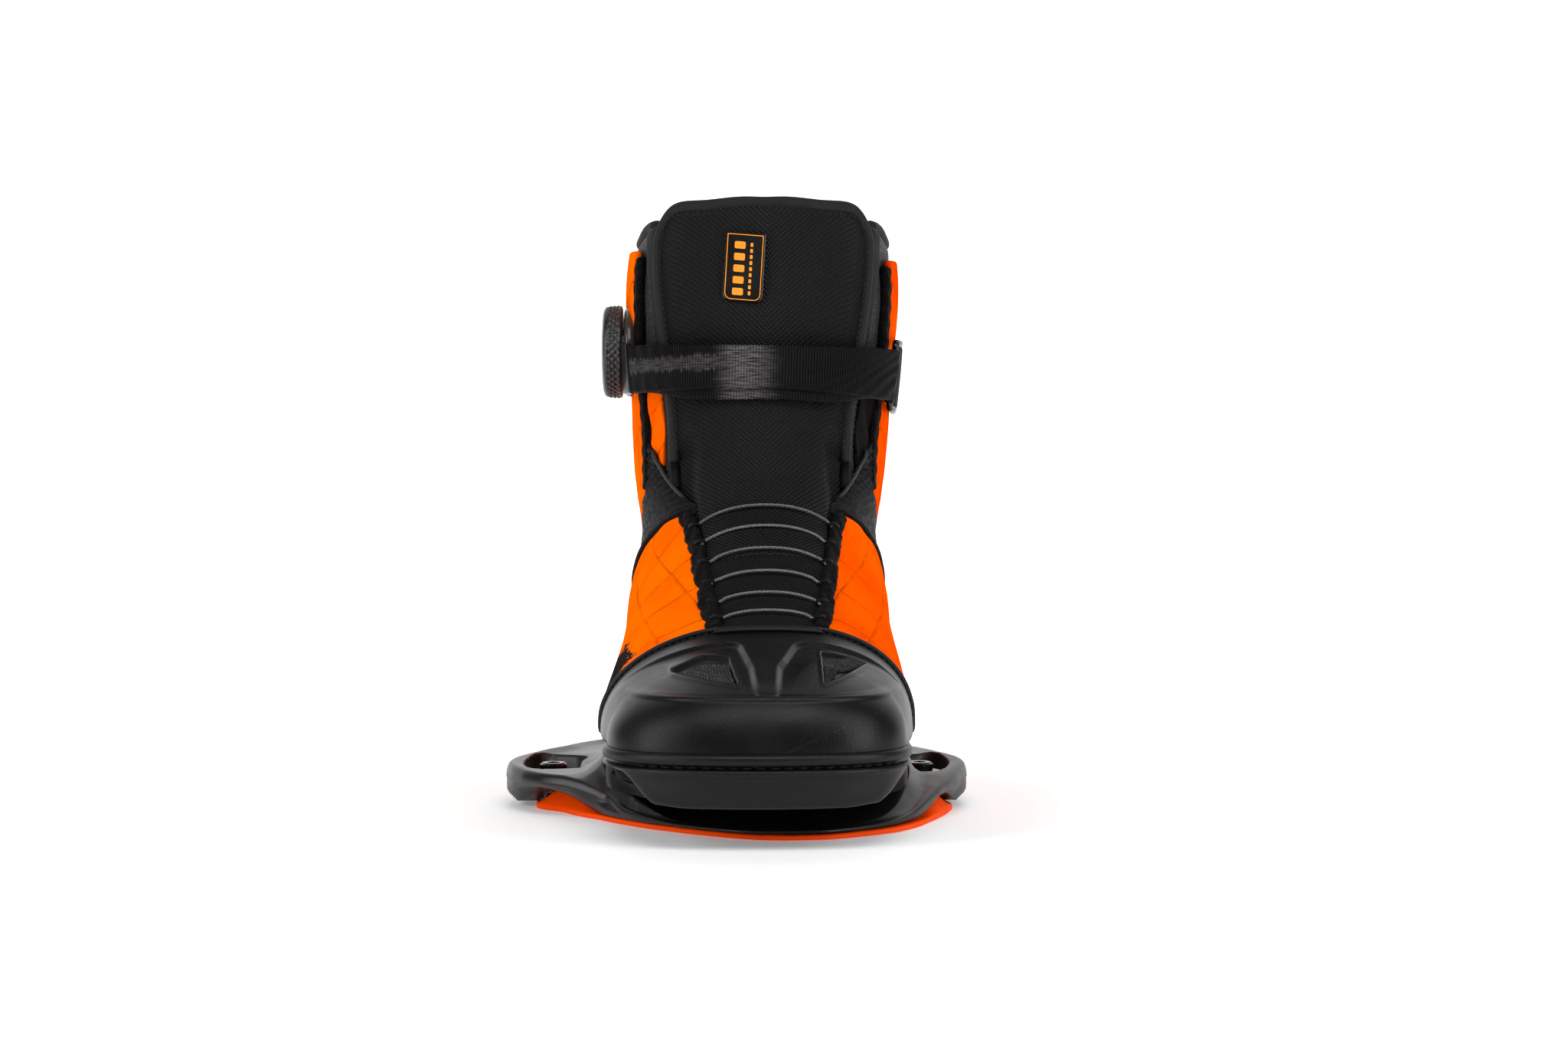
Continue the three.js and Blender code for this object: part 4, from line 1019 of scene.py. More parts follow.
# Crest of the walls that hold the boot: it runs in under the toe at the front and fades at the back.
CREST = [(19.5, -106.5, 3.7), (35, -103.6, 3.8), (47, -95, 4.2), (57.5, -84, 5.6), (64, -72, 9),
         (67, -61, 12.5), (69.4, -50, 17), (69.6, -38, 21), (69.1, -25, 23.8), (67.5, -10, 25.3),
         (64.6, 20, 25), (62.3, 48, 22), (60.2, 70, 19), (57, 84, 16.8), (46, 92, 16.2), (24, 98, 16.1),
         (0, 100, 16.1), (-24, 98, 16.1), (-34, 92, 16.2), (-41.5, 82, 16.8), (-43.6, 70, 19),
         (-45.1, 48, 22), (-47.8, 20, 25), (-51, -10, 26.4), (-53, -26, 26.2), (-53.4, -38, 23.2),
         (-52.8, -46, 19.4), (-49.5, -54, 15.8), (-43.5, -63, 13), (-36, -76, 9), (-26.4, -84.6, 4.6),
         (-12, -96.5, 3.7), (2, -104, 3.6), (10, -106, 3.6)]


def around_base(rail, turn, soften=1.1):
    """Radius and height of a rail at each angle of the evenly spaced turn."""
    x, y, z = np.array(rail, float).T
    angle = np.unwrap(np.arctan2(y, x))
    angle = np.concatenate([angle - 2 * math.pi, angle, angle + 2 * math.pi])
    step = np.degrees(turn[1] - turn[0])
    reach = np.arange(-6, 7)
    weight = np.exp(-(reach * step / soften) ** 2 / 2)
    out = []
    for value in (np.hypot(x, y), z):
        raw = np.interp(turn, angle, np.tile(value, 3))
        out.append(sum(w * np.roll(raw, k) for k, w in zip(reach, weight)) / weight.sum())
    return out


def arc_gap(x, y, r0, r1, end, corner):
    """Distance outside an arc-shaped pocket on either side of the base, rounded at its corners."""
    r = np.hypot(x, y)
    swing = np.arctan2(y, np.abs(x))
    across = np.abs(r - (r0 + r1) / 2) - (r1 - r0) / 2 + corner
    along = np.abs(swing) * (r0 + r1) / 2 - math.radians(end) * (r0 + r1) / 2 + corner
    outside = np.hypot(np.maximum(across, 0), np.maximum(along, 0))
    return outside + np.minimum(np.maximum(across, along), 0) - corner


def ring_solid(name, top, bottom, hole):
    """A closed disc-like body from two grids of points (rings, turn, 3) that share their outer edge. Cells
    marked in hole are cut through."""
    rings, count = top.shape[:2]
    grid, nxt, cells = ring_grid(rings, count)
    keep = ~hole
    size = rings * count
    faces = [cells[keep][:, ::-1], cells[keep] + size]
    outer = np.stack([grid[-1], nxt[-1], nxt[-1] + size, grid[-1] + size], -1)
    faces.append(outer[:, ::-1])
    for shift, axis, a, b in ((1, 0, grid[:-1], nxt[:-1]), (-1, 0, grid[1:], nxt[1:]),
                              (1, 1, grid[:-1], grid[1:]), (-1, 1, nxt[:-1], nxt[1:])):
        beside = np.roll(keep, shift, axis=axis)
        edge = keep & ~beside
        faces.append(np.stack([a[edge], b[edge], b[edge] + size, a[edge] + size], -1))
    verts = np.concatenate([top.reshape(-1, 3), bottom.reshape(-1, 3)])
    middle = len(verts)
    verts = np.concatenate([verts, [top[0].mean(0), bottom[0].mean(0)]])
    tris = [(int(a), int(b), middle) for a, b in zip(grid[0], nxt[0])]
    tris += [(int(b) + size, int(a) + size, middle + 1) for a, b in zip(grid[0], nxt[0])]
    return make_object(name, verts, np.concatenate(faces).tolist() + tris, verts[:, :2])


def between(low, high, marks, counts):
    """Rings from low up to high, with a given number of rings between one mark and the next."""
    marks = [low] + [np.clip(mark, low, high) for mark in marks] + [high]
    return [lerp(a, b, t) for a, b, count in zip(marks, marks[1:], counts)
            for t in np.linspace(0, 1, count, endpoint=False)]


def cell_mean(values):
    """The mean of a grid of rings over each of its cells."""
    beside = np.roll(values, -1, axis=1)
    return (values[:-1] + beside[:-1] + values[1:] + beside[1:]) / 4


def at_radius(r, z):
    """Points (..., turn, 3) from radii and heights round the base."""
    return np.stack(np.broadcast_arrays(r * spoke[:, 0], r * spoke[:, 1], z), -1)


turn = np.radians(np.arange(-80, 280, 0.6))
r_low, z_low = around_base(LOWER_EDGE, turn)
r_wide, z_wide = around_base(WIDEST_LOW, turn)
r_high, z_high = around_base(WIDEST_HIGH, turn)
r_rim, z_rim = around_base(RIM, turn, 0.8)
r_crest, z_crest = around_base(CREST, turn, 1.6)
r_crest = np.minimum(r_crest, r_rim - 1.2)
spoke = np.stack([np.cos(turn), np.sin(turn)], -1)
# Rings of the frame's top, closer together at the walls of the slots and basins.
inside = np.concatenate([np.linspace(0.15, 0.9, 12), np.linspace(0.92, 1, 8)])
radii = [r_crest * f - 2.2 * smooth(0.9, 1.0, f) for f in inside[:-1]] + [r_crest - 1.4, r_crest - 0.7]
radii += between(r_crest, r_rim, (65.2, 66.0, 72.3, 72.9, 79.5, 80.1, 86.9, 88.3),
                 (16, 4, 3, 3, 3, 3, 5, 5, 10))
radii = np.array(radii + [r_rim])
x, y = radii * spoke[:, 0], radii * spoke[:, 1]
past_crest = radii - r_crest
flare = np.minimum(np.where(x > 0, 6.5, 13.0), np.maximum(r_rim - r_crest, 1.5))
lean = np.clip(past_crest / flare, 0, 1)
z = z_rim + (z_crest - z_rim) * (1 - lean) ** 1.9
z = z - 1.1 * smooth(0, 7, r_rim - radii) * smooth(-30, -5, y) * smooth(0, 0.3, lean)
floor_in = np.interp(y, [-106, -96, -84, -62, -50], [3.5, 4.2, 7.5, 14.2, TRAY_FLOOR])
z = np.where(past_crest < 0, lerp(np.minimum(z_crest, floor_in), z, smooth(-1.5, 0, past_crest)), z)
z = np.where(past_crest < -1.4, np.minimum(floor_in, z), z)
pocket = arc_gap(x, y, BASIN_IN, BASIN_OUT, BASIN_END, 7.0)
swing = np.degrees(np.arctan2(y, np.abs(x)))
teeth = TEETH_DEPTH * (0.5 + 0.5 * np.cos(swing * 2 * math.pi / TEETH_PITCH)) * smooth(84, 87, radii)
z = lerp(z, np.minimum(z, BASIN_FLOOR), smooth(0.9, -0.5, pocket + teeth))
slot = arc_gap(x, y, SLOT_RADIUS - SLOT_HALF, SLOT_RADIUS + SLOT_HALF, SLOT_END, 3.5)
wall = []
for t in np.linspace(0, 1, 7)[1:]:
    w = t * math.pi / 2
    wall.append((r_rim + (r_high - r_rim) * math.sin(w), z_rim + (z_high - z_rim) * (1 - math.cos(w))))
for t in (0.12, 0.5, 0.88):
    wall.append((lerp(r_high, r_wide, t) - 0.25 * (t == 0.12), lerp(z_high, z_wide, t)))
for t in (0.2, 0.6, 0.94):
    wall.append((lerp(r_wide, r_low, t), lerp(z_wide, z_low, t)))
top = np.concatenate([at_radius(radii, z), [at_radius(r, h) for r, h in wall]])
under_r = np.minimum(radii, r_low)
under = at_radius(under_r, lerp(2.1, z_low, smooth(15, 11, r_low - under_r)))
bottom = np.concatenate([under, [at_radius(r_low, z_low)] * len(wall)])
hole = np.zeros((len(top) - 1, len(turn)), bool)
hole[:len(slot) - 1] = cell_mean(slot) < 0
frame_skin = ring_solid("base_frame_skin", top, bottom, hole)
place(frame_skin, "boot", [FRAME_PLASTIC], ["base_frame"])

GASKET_EDGE = [(20, -111.5), (37, -108.5), (50, -99.5), (63, -88.5), (72, -74), (77.4, -60), (82.4, -46),
               (86.6, -32), (89, -17.5), (84, 0), (82, 12), (80, 26), (70, 50), (57, 74), (42, 95),
               (22, 108), (0, 112), (-22, 108), (-42, 95), (-57, 74), (-70, 50), (-80, 26), (-82, 12),
               (-82.5, 0), (-83, -9), (-82, -18.4), (-71.3, -28.7), (-55.3, -51.3), (-43.7, -67.6),
               (-26.1, -85.9), (-11.5, -98.4), (1.5, -107), (10.5, -110.8)]
degrees_round = np.degrees(turn)
wedge_height = np.maximum(
    np.interp(degrees_round, [-38, -28, -23, -18, -11], [0, 5.6, 6.3, 5.6, 0]),
    np.interp(degrees_round, [186, 190, 195.5, 201, 209.5, 222], [0, 3.0, 6.6, 7.6, 4.2, 0.4]))
r_edge, _ = around_base([(x, y, 0) for x, y in GASKET_EDGE], turn)
radii = [r_edge * f for f in (0.1, 0.4, 0.7)]
radii += between(r_edge * 0.72, r_edge - WEDGE_DEPTH, (71.0, 71.4, 81.0, 81.4), (4, 2, 4, 2, 3))
# The foam swells into a wedge near its edge: (distance in from the edge, share of the wedge's height).
profile = [(WEDGE_DEPTH, 0), (8.7, 0.5), (8.3, 0.93), (7.8, 1), (6.6, 1), (5.9, 0.95), (4.8, 0.8),
           (3.2, 0.5), (1.5, 0.22), (0.5, 0.06), (0.1, 0)]
radii = np.array(radii + [r_edge - inset for inset, _ in profile])
rise = np.concatenate([np.zeros(len(radii) - len(profile)), [f for _, f in profile]])
top = at_radius(radii, FOAM_TOP - 0.5 * smooth(0.35, 0.0, r_edge - radii) + rise[:, None] * wedge_height)
slot = arc_gap(top[..., 0], top[..., 1], SLOT_RADIUS - 5, SLOT_RADIUS + 5, SLOT_END, 4.5)
gasket_skin = ring_solid("base_gasket_skin", top, at_radius(radii, 0.02), cell_mean(slot) < 0)
place(gasket_skin, "boot", [GASKET], ["base_gasket"])


# ------------------------------------------------------------------ lower upper
def quarter_line(y):
    """Height of the quarters' top edge at y."""
    return 123 - 0.53 * (y - 14)


def wobble(t, seed, size):
    """Smooth hand-made waviness along an edge."""
    r = np.random.default_rng(seed)
    return size * sum(r.normal() * np.sin(t * k * 2.6 + r.uniform(0, 6.28)) / k ** 0.6 for k in range(1, 9))


def gusset_rise(v):
    """How far the gusset's top edge has climbed from the throat towards the side."""
    return 22 * np.clip((v - 29) / 33, 0, 1.15) ** 1.1


QUARTER_PIPING_RADIUS = 1.0
for side, sign in (("lateral", -1), ("medial", 1)):
    def quarter_at(a, b):
        v = sign * lerp(throat(lerp(2.04, 6.2, a)) + 4.2, 117, b)
        return lerp(2.04, section_where(lambda x, y, z: z - quarter_line(y) + 0.3, v, 2.0, 9.4), a), v

    def quarter_relief(q):
        fold = np.sin(q["along"] * 0.26 + q["across"] * 0.05) * np.exp(-((q["across"] - 16) / 14) ** 2)
        return 0.55 * fold + 0.35 * np.sin(q["x"] * 0.17 + q["z"] * 0.11)

    quarter = shell(side + "_quarter_skin", quarter_at, -2.2, 0, 110, 80, roll=(0, 1.2, 0.8, 0),
                    relief=quarter_relief)
    # The medial quarter takes the darker orange, painted shade.
    orange = ORANGE_LATERAL if side == "lateral" else ORANGE_MEDIAL_SHADED
    place(quarter, "boot", [orange, LINING], [side + "_quarter"])

    def gusset_at(a, b):
        v = lerp(27, 124, b)
        low = section_where(lambda x, y, z: z - quarter_line(y) + 5, sign * v, 4.4, 11)
        crest = 125 + gusset_rise(v) - 44 * smooth(70, 124, v)
        return lerp(low, np.maximum(at_height(crest, sign * v, 5, 13), low + 0.2), a), sign * v

    def gusset_relief(q):
        return 0.5 * np.sin(q["along"] * 2 * math.pi / 3.4) * smooth(0, 3, q["to_end"])

    gusset = shell(side + "_gusset_skin", gusset_at, -3.6, -1.2, 60, 120, roll=(0, 1.0, 0, 0),
                   relief=gusset_relief)
    place(gusset, "ankle", [GUSSET_RIB, LINING], [side + "_gusset"])

    def stay_at(a, b):
        s = lerp(2.08, 6.5, a)
        inner = throat(s) - 0.2 + wobble(a * 9, 5 + sign, 0.22)
        outer = throat(s) + 6.2 + wobble(a * 9, 9 + sign, 0.34)
        return s, sign * lerp(inner, outer, b)

    def stay_relief(q):
        return 0.05 * np.sin(q["along"] * 1.1) + 0.25 * np.sin(q["along"] * 0.33 + q["across"])

    stay = shell(side + "_eyestay_skin", stay_at, -1.5, 2.0, 190, 26, roll=(1, 1.5, 1.5, 1.5),
                 relief=stay_relief)
    place(stay, "boot", [LINING], [side + "_eyestay"])
    # Roll of pile that binds the quarter's top edge.
    v = np.linspace(32, 104, 70)
    s = section_where(lambda x, y, z: z - quarter_line(y) - 0.6, sign * v, 2.0, 9.4)
    p, n = on_surface(s, sign * v, 0.2)
    place(tube(side + "_quarter_piping", p, QUARTER_PIPING_RADIUS, ups=n), "boot", [LINING])


def counter_at(a, b):
    v = lerp(119, 241, b)
    return lerp(5.6, section_where(lambda x, y, z: z - 96.5 + 0.06 * (y - 95), v, 6, 11.5), a), v


def stabiliser_at(a, b):
    return lerp(7.95, 10.35, a), 180 + lerp(-29.5, 29.5, b) * lerp(0.72, 1.0, np.abs(2 * a - 1) ** 2)


def stabiliser_relief(q):
    """A groove down the middle that stops short of the ends."""
    return (-0.9 * smooth(0.12, 0.06, np.abs(q["b"] - 0.5)) * smooth(0.1, 0.2, q["a"])
            * smooth(0.9, 0.8, q["a"]))


counter = shell("heel_counter_skin", counter_at, -4.6, 0, 60, 90, roll=(0, 1.6, 0, 0),
                relief=lambda q: 0.5 * np.sin(q["along"] * 0.5) * smooth(60, 90, q["y"]))
place(counter, "boot", [RUBBER, LINING], ["heel_counter"])
stabiliser = shell("heel_stabiliser_skin", stabiliser_at, -0.2, 2.6, 50, 50, roll=(2,) * 4,
                   relief=stabiliser_relief)
place(stabiliser, "boot", [FRAME_PLASTIC], ["heel_stabiliser"])


# ------------------------------------------------------------------ tongue
def tongue_top(v):
    """Height of the tongue's top edge."""
    v = np.abs(v)
    return 250.8 - 3.2 * (v / 50) ** 2 + 0.35 * np.sin(v * 0.21) - 9.0 * smooth(38, 52, v) ** 1.6


def tongue_at(a, b):
    across = lerp(-1, 1, b)
    s = lerp(4.3, up_leg(tongue_top(across * 51.5), across * 51.5), a)
    return s, across * (tongue_half(s) - 0.5)


def tongue_relief(q):
    crown = 0.9 * np.cos(np.clip(np.abs(q["b"] - 0.5) * math.pi, 0, math.pi / 2)) * smooth(130, 150, q["z"])
    dent = -2.4 * smooth(26, 6, np.abs(q["z"] - 178)) * smooth(0.0, 0.5, 1 - np.abs(2 * q["b"] - 1))
    folds = 0.35 * np.sin(q["z"] * 0.35 + 2 * q["b"]) * smooth(150, 120, q["z"])
    return crown + dent + folds


def tongue_height(s, v):
    """The tongue dips under the gussets at its sides."""
    return -4.6 * smooth(9.3, 8.3, s) * smooth(24, 33, np.abs(v))


tongue = shell("tongue_skin", tongue_at, -8, tongue_height, 220, 110, roll=(2, 2.6, 2.6, 2.6),
               relief=tongue_relief)
place(tongue, "ankle", [TONGUE_WEAVE, BINDING], ["tongue_upper"])


def panel_at(a, b):
    s = lerp(1.9, 4.9, a)
    return s, lerp(-1, 1, b) * (throat(s) + 3)


def panel_relief(q):
    """Soft swells between the rows of lace."""
    return 0.45 * np.sin(q["along"] * 2 * math.pi / 13.5 + 1.2) - 0.5 * smooth(60, 70, q["along"])


throat_panel = shell("throat_panel", panel_at, -4.6, -0.9, 90, 60, roll=(0,) * 4, relief=panel_relief)
place(throat_panel, "boot", [LACE_PANEL, LINING], ["tongue_lower"])


def edge_path(side_sign, count, low_z, inset):
    """The tongue's edge from a side at low_z up, round the corner, to the middle of the top."""
    z = np.linspace(low_z, 239.5 - inset, count)
    v = tongue_half(at_height(z, 46.0)) - 1.4 - inset
    s = at_height(z, side_sign * v)
    v2 = np.linspace(v[-1], 0, count)
    s2 = up_leg(tongue_top(v2 * 1.02) - 1.2 - inset, side_sign * v2)
    return np.concatenate([s, s2[3:]]), side_sign * np.concatenate([v, v2[3:]])


def whole_edge(low_z, inset, depth):
    """Points and outward directions round the tongue's edge, from one side at low_z to the other."""
    s_left, v_left = edge_path(-1, 60, low_z, inset)
    s_right, v_right = edge_path(1, 60, low_z, inset)
    s, v = np.concatenate([s_left, s_right[::-1][1:]]), np.concatenate([v_left, v_right[::-1][1:]])
    p, n = on_surface(s, v, depth)
    p = relaxed(curve_points(p[::4], 260), 10)
    even = np.linspace(0, 1, 260)
    return p, np.stack([np.interp(even, np.linspace(0, 1, len(n)), column) for column in n.T], 1)


TONGUE_BINDING_RADIUS = 2.1
p, n = whole_edge(141, 0.0, -0.9)
binding = sweep("tongue_binding", p, circle(TONGUE_BINDING_RADIUS, 16) * [1.15, 1.0], ups=n)
place(binding, "cuff", [BINDING_LIGHT])
p, n = whole_edge(145, 3.4, 0.55)
place(stitches("tongue_stitches", p, n, 2.6, 1.8, 0.3, 0.1), "cuff", [THREAD])


# ------------------------------------------------------------------ liner
def ankle_plane(x, y, z):
    """Height above the slanting line round the ankle where the sock ends and the collar starts."""
    return z - 100 - np.maximum(0, 95 - y) * math.tan(math.radians(29))


def sock_at(a, b):
    v = lerp(-180, 180, b)
    return lerp(-1, section_where(ankle_plane, v, 4, 12), a), v


sock = shell("liner_sock", sock_at, -11.2, -6.8, 70, 90, roll=(0,) * 4, around=True)
place(sock, "ankle", [FOAM, LINING], ["liner_lower"])


def collar_top(v):
    """Height of the collar's top edge: high at the back, with a dip on each side."""
    v = np.abs(np.where(v > 180, v - 360, v))
    dip = smooth(64, 86, v) * smooth(124, 98, v)
    return 238.5 + 12.5 * smooth(98, 165, v) + 2.0 * smooth(80, 55, v) - 5.0 * dip


def collar_at(a, b):
    edge = tongue_half(lerp(9, 15, a)) + 4
    v = lerp(edge, 360 - edge, b)
    return lerp(section_where(ankle_plane, v, 4, 12), up_leg(collar_top(v) - 0.5, v), a), v


collar = shell("liner_collar_skin", collar_at, -11.4, -4.2, 110, 240, roll=(0, 3.4, 2, 2),
               relief=lambda q: 0.4 * np.sin(q["across"] * 0.21) * np.sin(q["z"] * 0.16)
               + 1.0 * smooth(14, 4, q["to_end"]))
place(collar, "ankle", [MESH, LINING], ["liner_collar"])
v = np.linspace(58, 302, 200)
s = up_leg(collar_top(v) + 0.2, v)
p, n = on_surface(s, v, -5.2)
COLLAR_ROLL_RADIUS = 2.9
place(tube("collar_roll", p, COLLAR_ROLL_RADIUS, 14, ups=n), "cuff", [BINDING_LIGHT])

for side, sign in (("lateral", -1), ("medial", 1)):
    def front_at(a, b):
        s = lerp(8.0, up_leg(240.5 - 3.5 * np.abs(2 * b - 1) ** 2.5, sign * (53.5 + 9.5 * b)), a)
        width = np.interp(s, [8, 11, 12.4, 13.4, 15], [3.4, 4.2, 5.5, 9.4, 9.6])
        return s, sign * (tongue_half(s) + 0.3 + width * b)

    front = shell(side + "_liner_binding", front_at, -7.5, -1.0, 150, 26, roll=(1.5, 3.2, 2.4, 2.6),
                  relief=lambda q: 0.25 * np.sin(q["along"] * 0.12) - 1.6 * smooth(0.35, 0, q["b"]))
    place(front, "ankle", [BINDING_LIGHT])
    s = np.linspace(8.3, 12.2, 60)
    v = tongue_half(s) + 0.3 + np.interp(s, [8, 11, 12.4], [3.4, 4.2, 5.5]) * 0.72
    p, n = on_surface(s, sign * v, -0.7)
    place(stitches(side + "_liner_stitches", p, n, 2.6, 1.8, 0.3, 0.1), "cuff", [THREAD])


# ------------------------------------------------------------------ laces
ROWS = [2.42, 3.0, 3.62, 4.3, 5.02, 5.75]
LACE_RADIUS, LEAD_RADIUS = 0.62, 0.85
lace_points = []
for k in range(len(ROWS) - 1, -1, -1):
    start = (len(ROWS) - 1 - k) % 2 * 2 - 1
    for side in np.linspace(start, -start, 11):
        v = side * (throat(ROWS[k]) - 0.6)
        lace_points.append(surface(ROWS[k] + 0.10 * (1 - side * side), v, 0.7 + 0.9 * (1 - side ** 4)))
    if k:
        lace_points.append(surface((ROWS[k] + ROWS[k - 1]) / 2, -start * (throat(ROWS[k]) + 1.8), 0.9))
lace = tube("lace", curve_points(lace_points, 640), LACE_RADIUS)
place(lace, "boot", [CORD], ["lace"])


def strip_along(name, points, across, width, thickness, count=40):
    """A flat band of webbing along points, with its width along the direction across."""
    path = curve_points(points, count)
    tangent = np.gradient(path, axis=0)
    ups = np.cross(np.broadcast_to(np.asarray(across, float), path.shape), tangent)
    w, t = width / 2, thickness / 2
    half = [(-w, -t * 0.4), (-w + 0.2, -t), (w - 0.2, -t), (w, -t * 0.4)]
    return sweep(name, path, half + [(x, -y) for x, y in half[::-1]], ups=ups)


for side, sign in (("lateral", -1), ("medial", 1)):
    loops = []
    for k, s in enumerate(ROWS):
        offsets = ((3.2, 1.9), (2.2, 2.2), (1.0, 2.2), (-0.4, 1.7), (-1.4, 0.8), (-0.6, -0.3), (1.2, -0.3))
        points = [surface(s, sign * (throat(s) + dv), d) for dv, d in offsets]
        across = surface(s + 0.1, sign * throat(s)) - surface(s - 0.1, sign * throat(s))
        loops.append(strip_along("loop", points, across / np.linalg.norm(across), 2.4, 0.5))
    place(join(side + "_lace_loop_row", loops), "boot", [WEBBING], [side + "_lace_loops"])

    v = np.linspace(31, 64, 40)
    crest = 124.2 + gusset_rise(v)
    depth = lerp(-1.0, -4.2, smooth(59, 64, v)) - 2.6 * smooth(34, 31, v)
    p, n = on_surface(at_height(crest, sign * v, 5, 13), sign * v, depth)
    lead = tube(side + "_lead_cord", curve_points(p[::6], 120), LEAD_RADIUS)
    place(lead, "ankle", [BRAID], [side + "_lace_lead"])


# ------------------------------------------------------------------ cuff
def cuff_floor(x, y, z):
    """Height above the slanting line of the cuff's lower edge."""
    return z - 103.2 - np.maximum(0, 95 - y) * math.tan(math.radians(36))


for side, sign, side_top in (("lateral", -1, 230.5), ("medial", 1, 226.5)):
    def cuff_top(v):
        return side_top + 6 * smooth(88, 150, v) - 2.5 * smooth(72, 62, v)

    def cuff_at(a, b):
        v = lerp(69, 148, b)
        low = section_where(cuff_floor, sign * v, 4, 14)
        return lerp(low, up_leg(cuff_top(v), sign * v), a), sign * v

    panel = shell(side + "_cuff_skin", cuff_at, -3.4, 0, 120, 90, roll=(1.2, 1.4, 1.2, 0),
                  relief=lambda q: 0.5 * np.sin(q["z"] * 0.09 + q["across"] * 0.05)
                  - 0.5 * np.exp(-((q["z"] - 178) / 16) ** 2) * smooth(40, 0, q["across"]))
    # The medial cuff takes the darker orange, painted shade.
    orange = ORANGE_CUFF if side == "lateral" else ORANGE_CUFF_MEDIAL_SHADED
    place(panel, "cuff", [orange, LINING], [side + "_cuff_panel"])

    def edge_at(a, b):
        low = section_where(lambda x, y, z: cuff_floor(x, y, z) - 2, sign * 67.0, 4, 14)
        return (lerp(low, up_leg(cuff_top(67) - 1.2, sign * 67.0), a),
                sign * (lerp(64.6, 70.0, b) + wobble(a * 5, 3, 0.14)))

    velvet_edge = shell(side + "_cuff_edge", edge_at, -4.6, -0.3, 150, 14, roll=(1, 1.5, 1.6, 0.8),
                        relief=lambda q: 0.2 * np.sin(q["along"] * 0.8))
    place(velvet_edge, "cuff", [LINING])

    def flap_at(a, b):
        v = lerp(51.5, 67.5, b)
        low = section_where(lambda x, y, z: cuff_floor(x, y, z) - 1.0, sign * v, 4, 14)
        return lerp(low, up_leg(172, sign * v), a), sign * v

    flap = shell(side + "_inner_flap", flap_at, -4.4, -2.8, 70, 30, roll=(0.8,) * 4,
                 relief=lambda q: 0.5 * np.sin(q["along"] * 0.3 + q["across"] * 0.3))
    place(flap, "cuff", [ORANGE_CUFF if sign < 0 else LINING])


def spine_at(a, b):
    v = lerp(147, 213, b)
    return lerp(section_where(cuff_floor, v, 4, 14), up_leg(238 - 0.006 * (v - 180) ** 2, v), a), v


def spine_relief(q):
    """A raised band down the middle, with a groove that stops short of its ends."""
    aside = np.abs(q["b"] - 0.5)
    ends = smooth(12, 20, q["to_end"]) * smooth(12, 20, q["along"])
    return 0.9 * smooth(0.30, 0.24, aside) - 1.1 * smooth(0.10, 0.05, aside) * ends


spine_piece = shell("rear_spine_skin", spine_at, -4.4, 0.9, 110, 70, roll=(1.2, 2.0, 1.5, 1.5),
                    relief=spine_relief)
place(spine_piece, "cuff", [RUBBER], ["rear_cuff_spine"])
loop = strip_along("pull_loop", [(11, 148.5, 217), (11, 156.5, 228), (11, 160.4, 244), (11, 157.5, 254.5),
                                 (11, 153.3, 249), (11, 152.6, 241)], (1, 0, 0), 17.6, 1.5, 60)
place(loop, "cuff", [WEBBING], ["heel_pull_loop"])


# ------------------------------------------------------------------ strap
FOLD = 67.0
WIRE_RADIUS = 1.45


def strap_low(v, lower=0.0):
    """Height of the strap's lower edge, moved down by lower."""
    return 166 + 3.5 * (1 - np.abs(v) / 80) - 2 * (v / 80) - lower


def strap_high(v, higher=0.0):
    """Height of the strap's upper edge, moved up by higher."""
    return 189 - 1.2 * (v / 80) + higher


def strap_band(name, v0, v1, lower, higher, deep, out, rows=24, columns=240, roll=(0.7, 0.7, 0.9, 0.9),
               relief=None):
    """A layer of the strap from angle v0 to v1, widened past its edges by lower(v) or lower, and higher."""
    def at(a, b):
        v = lerp(v0, v1, b)
        drop = lower(v) if callable(lower) else lower
        return up_leg(lerp(strap_low(v, drop), strap_high(v, higher), a), v), v
    return shell(name, at, deep, out, rows, columns, roll=roll, relief=relief)


outer = strap_band("strap_upper_layer", -66.5, FOLD, 0, -0.8, 4.2, 6.1,
                   relief=lambda q: 0.16 * np.sin(q["across"] * 2 * math.pi / STRAP_RIB))
inner = strap_band("strap_under_layer", -72, FOLD, lambda v: 3.9 * smooth(54, 25, np.abs(v)) - 0.6, -3.5,
                   1.9, 3.6)
fold_z = lerp(strap_low(FOLD, 0.6), strap_high(FOLD), np.linspace(0.02, 0.98, 20))
fold_path, fold_up = on_surface(up_leg(fold_z, np.full(20, FOLD)), np.full(20, FOLD), 4.0)
fold_outline = [(0, 2.1), (-2.0, 1.9), (-3.2, 0.9), (-3.5, -0.4), (-2.6, -1.7), (0, -2.1), (0, -0.9),
                (-1.8, -0.7), (-2.1, 0.2), (-1.2, 0.9), (0, 1.0)]
fold = sweep("strap_fold", fold_path, fold_outline, ups=fold_up)
place(fold, "buckle", [WEBBING])
for piece, node in ((outer, "strap_outer"), (inner, "strap_inner")):
    wear(piece, [STRAP])
    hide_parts(node)
    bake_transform(piece)
tip = strap_band("strap_tip", -70.5, -62.2, 0.3, 0.5, 3.9, 6.9, 20, 20, roll=(1.2, 1.2, 1.6, 0.6))
place(tip, "cuff", [BUCKLE_PLASTIC], ["strap_end_tab"])

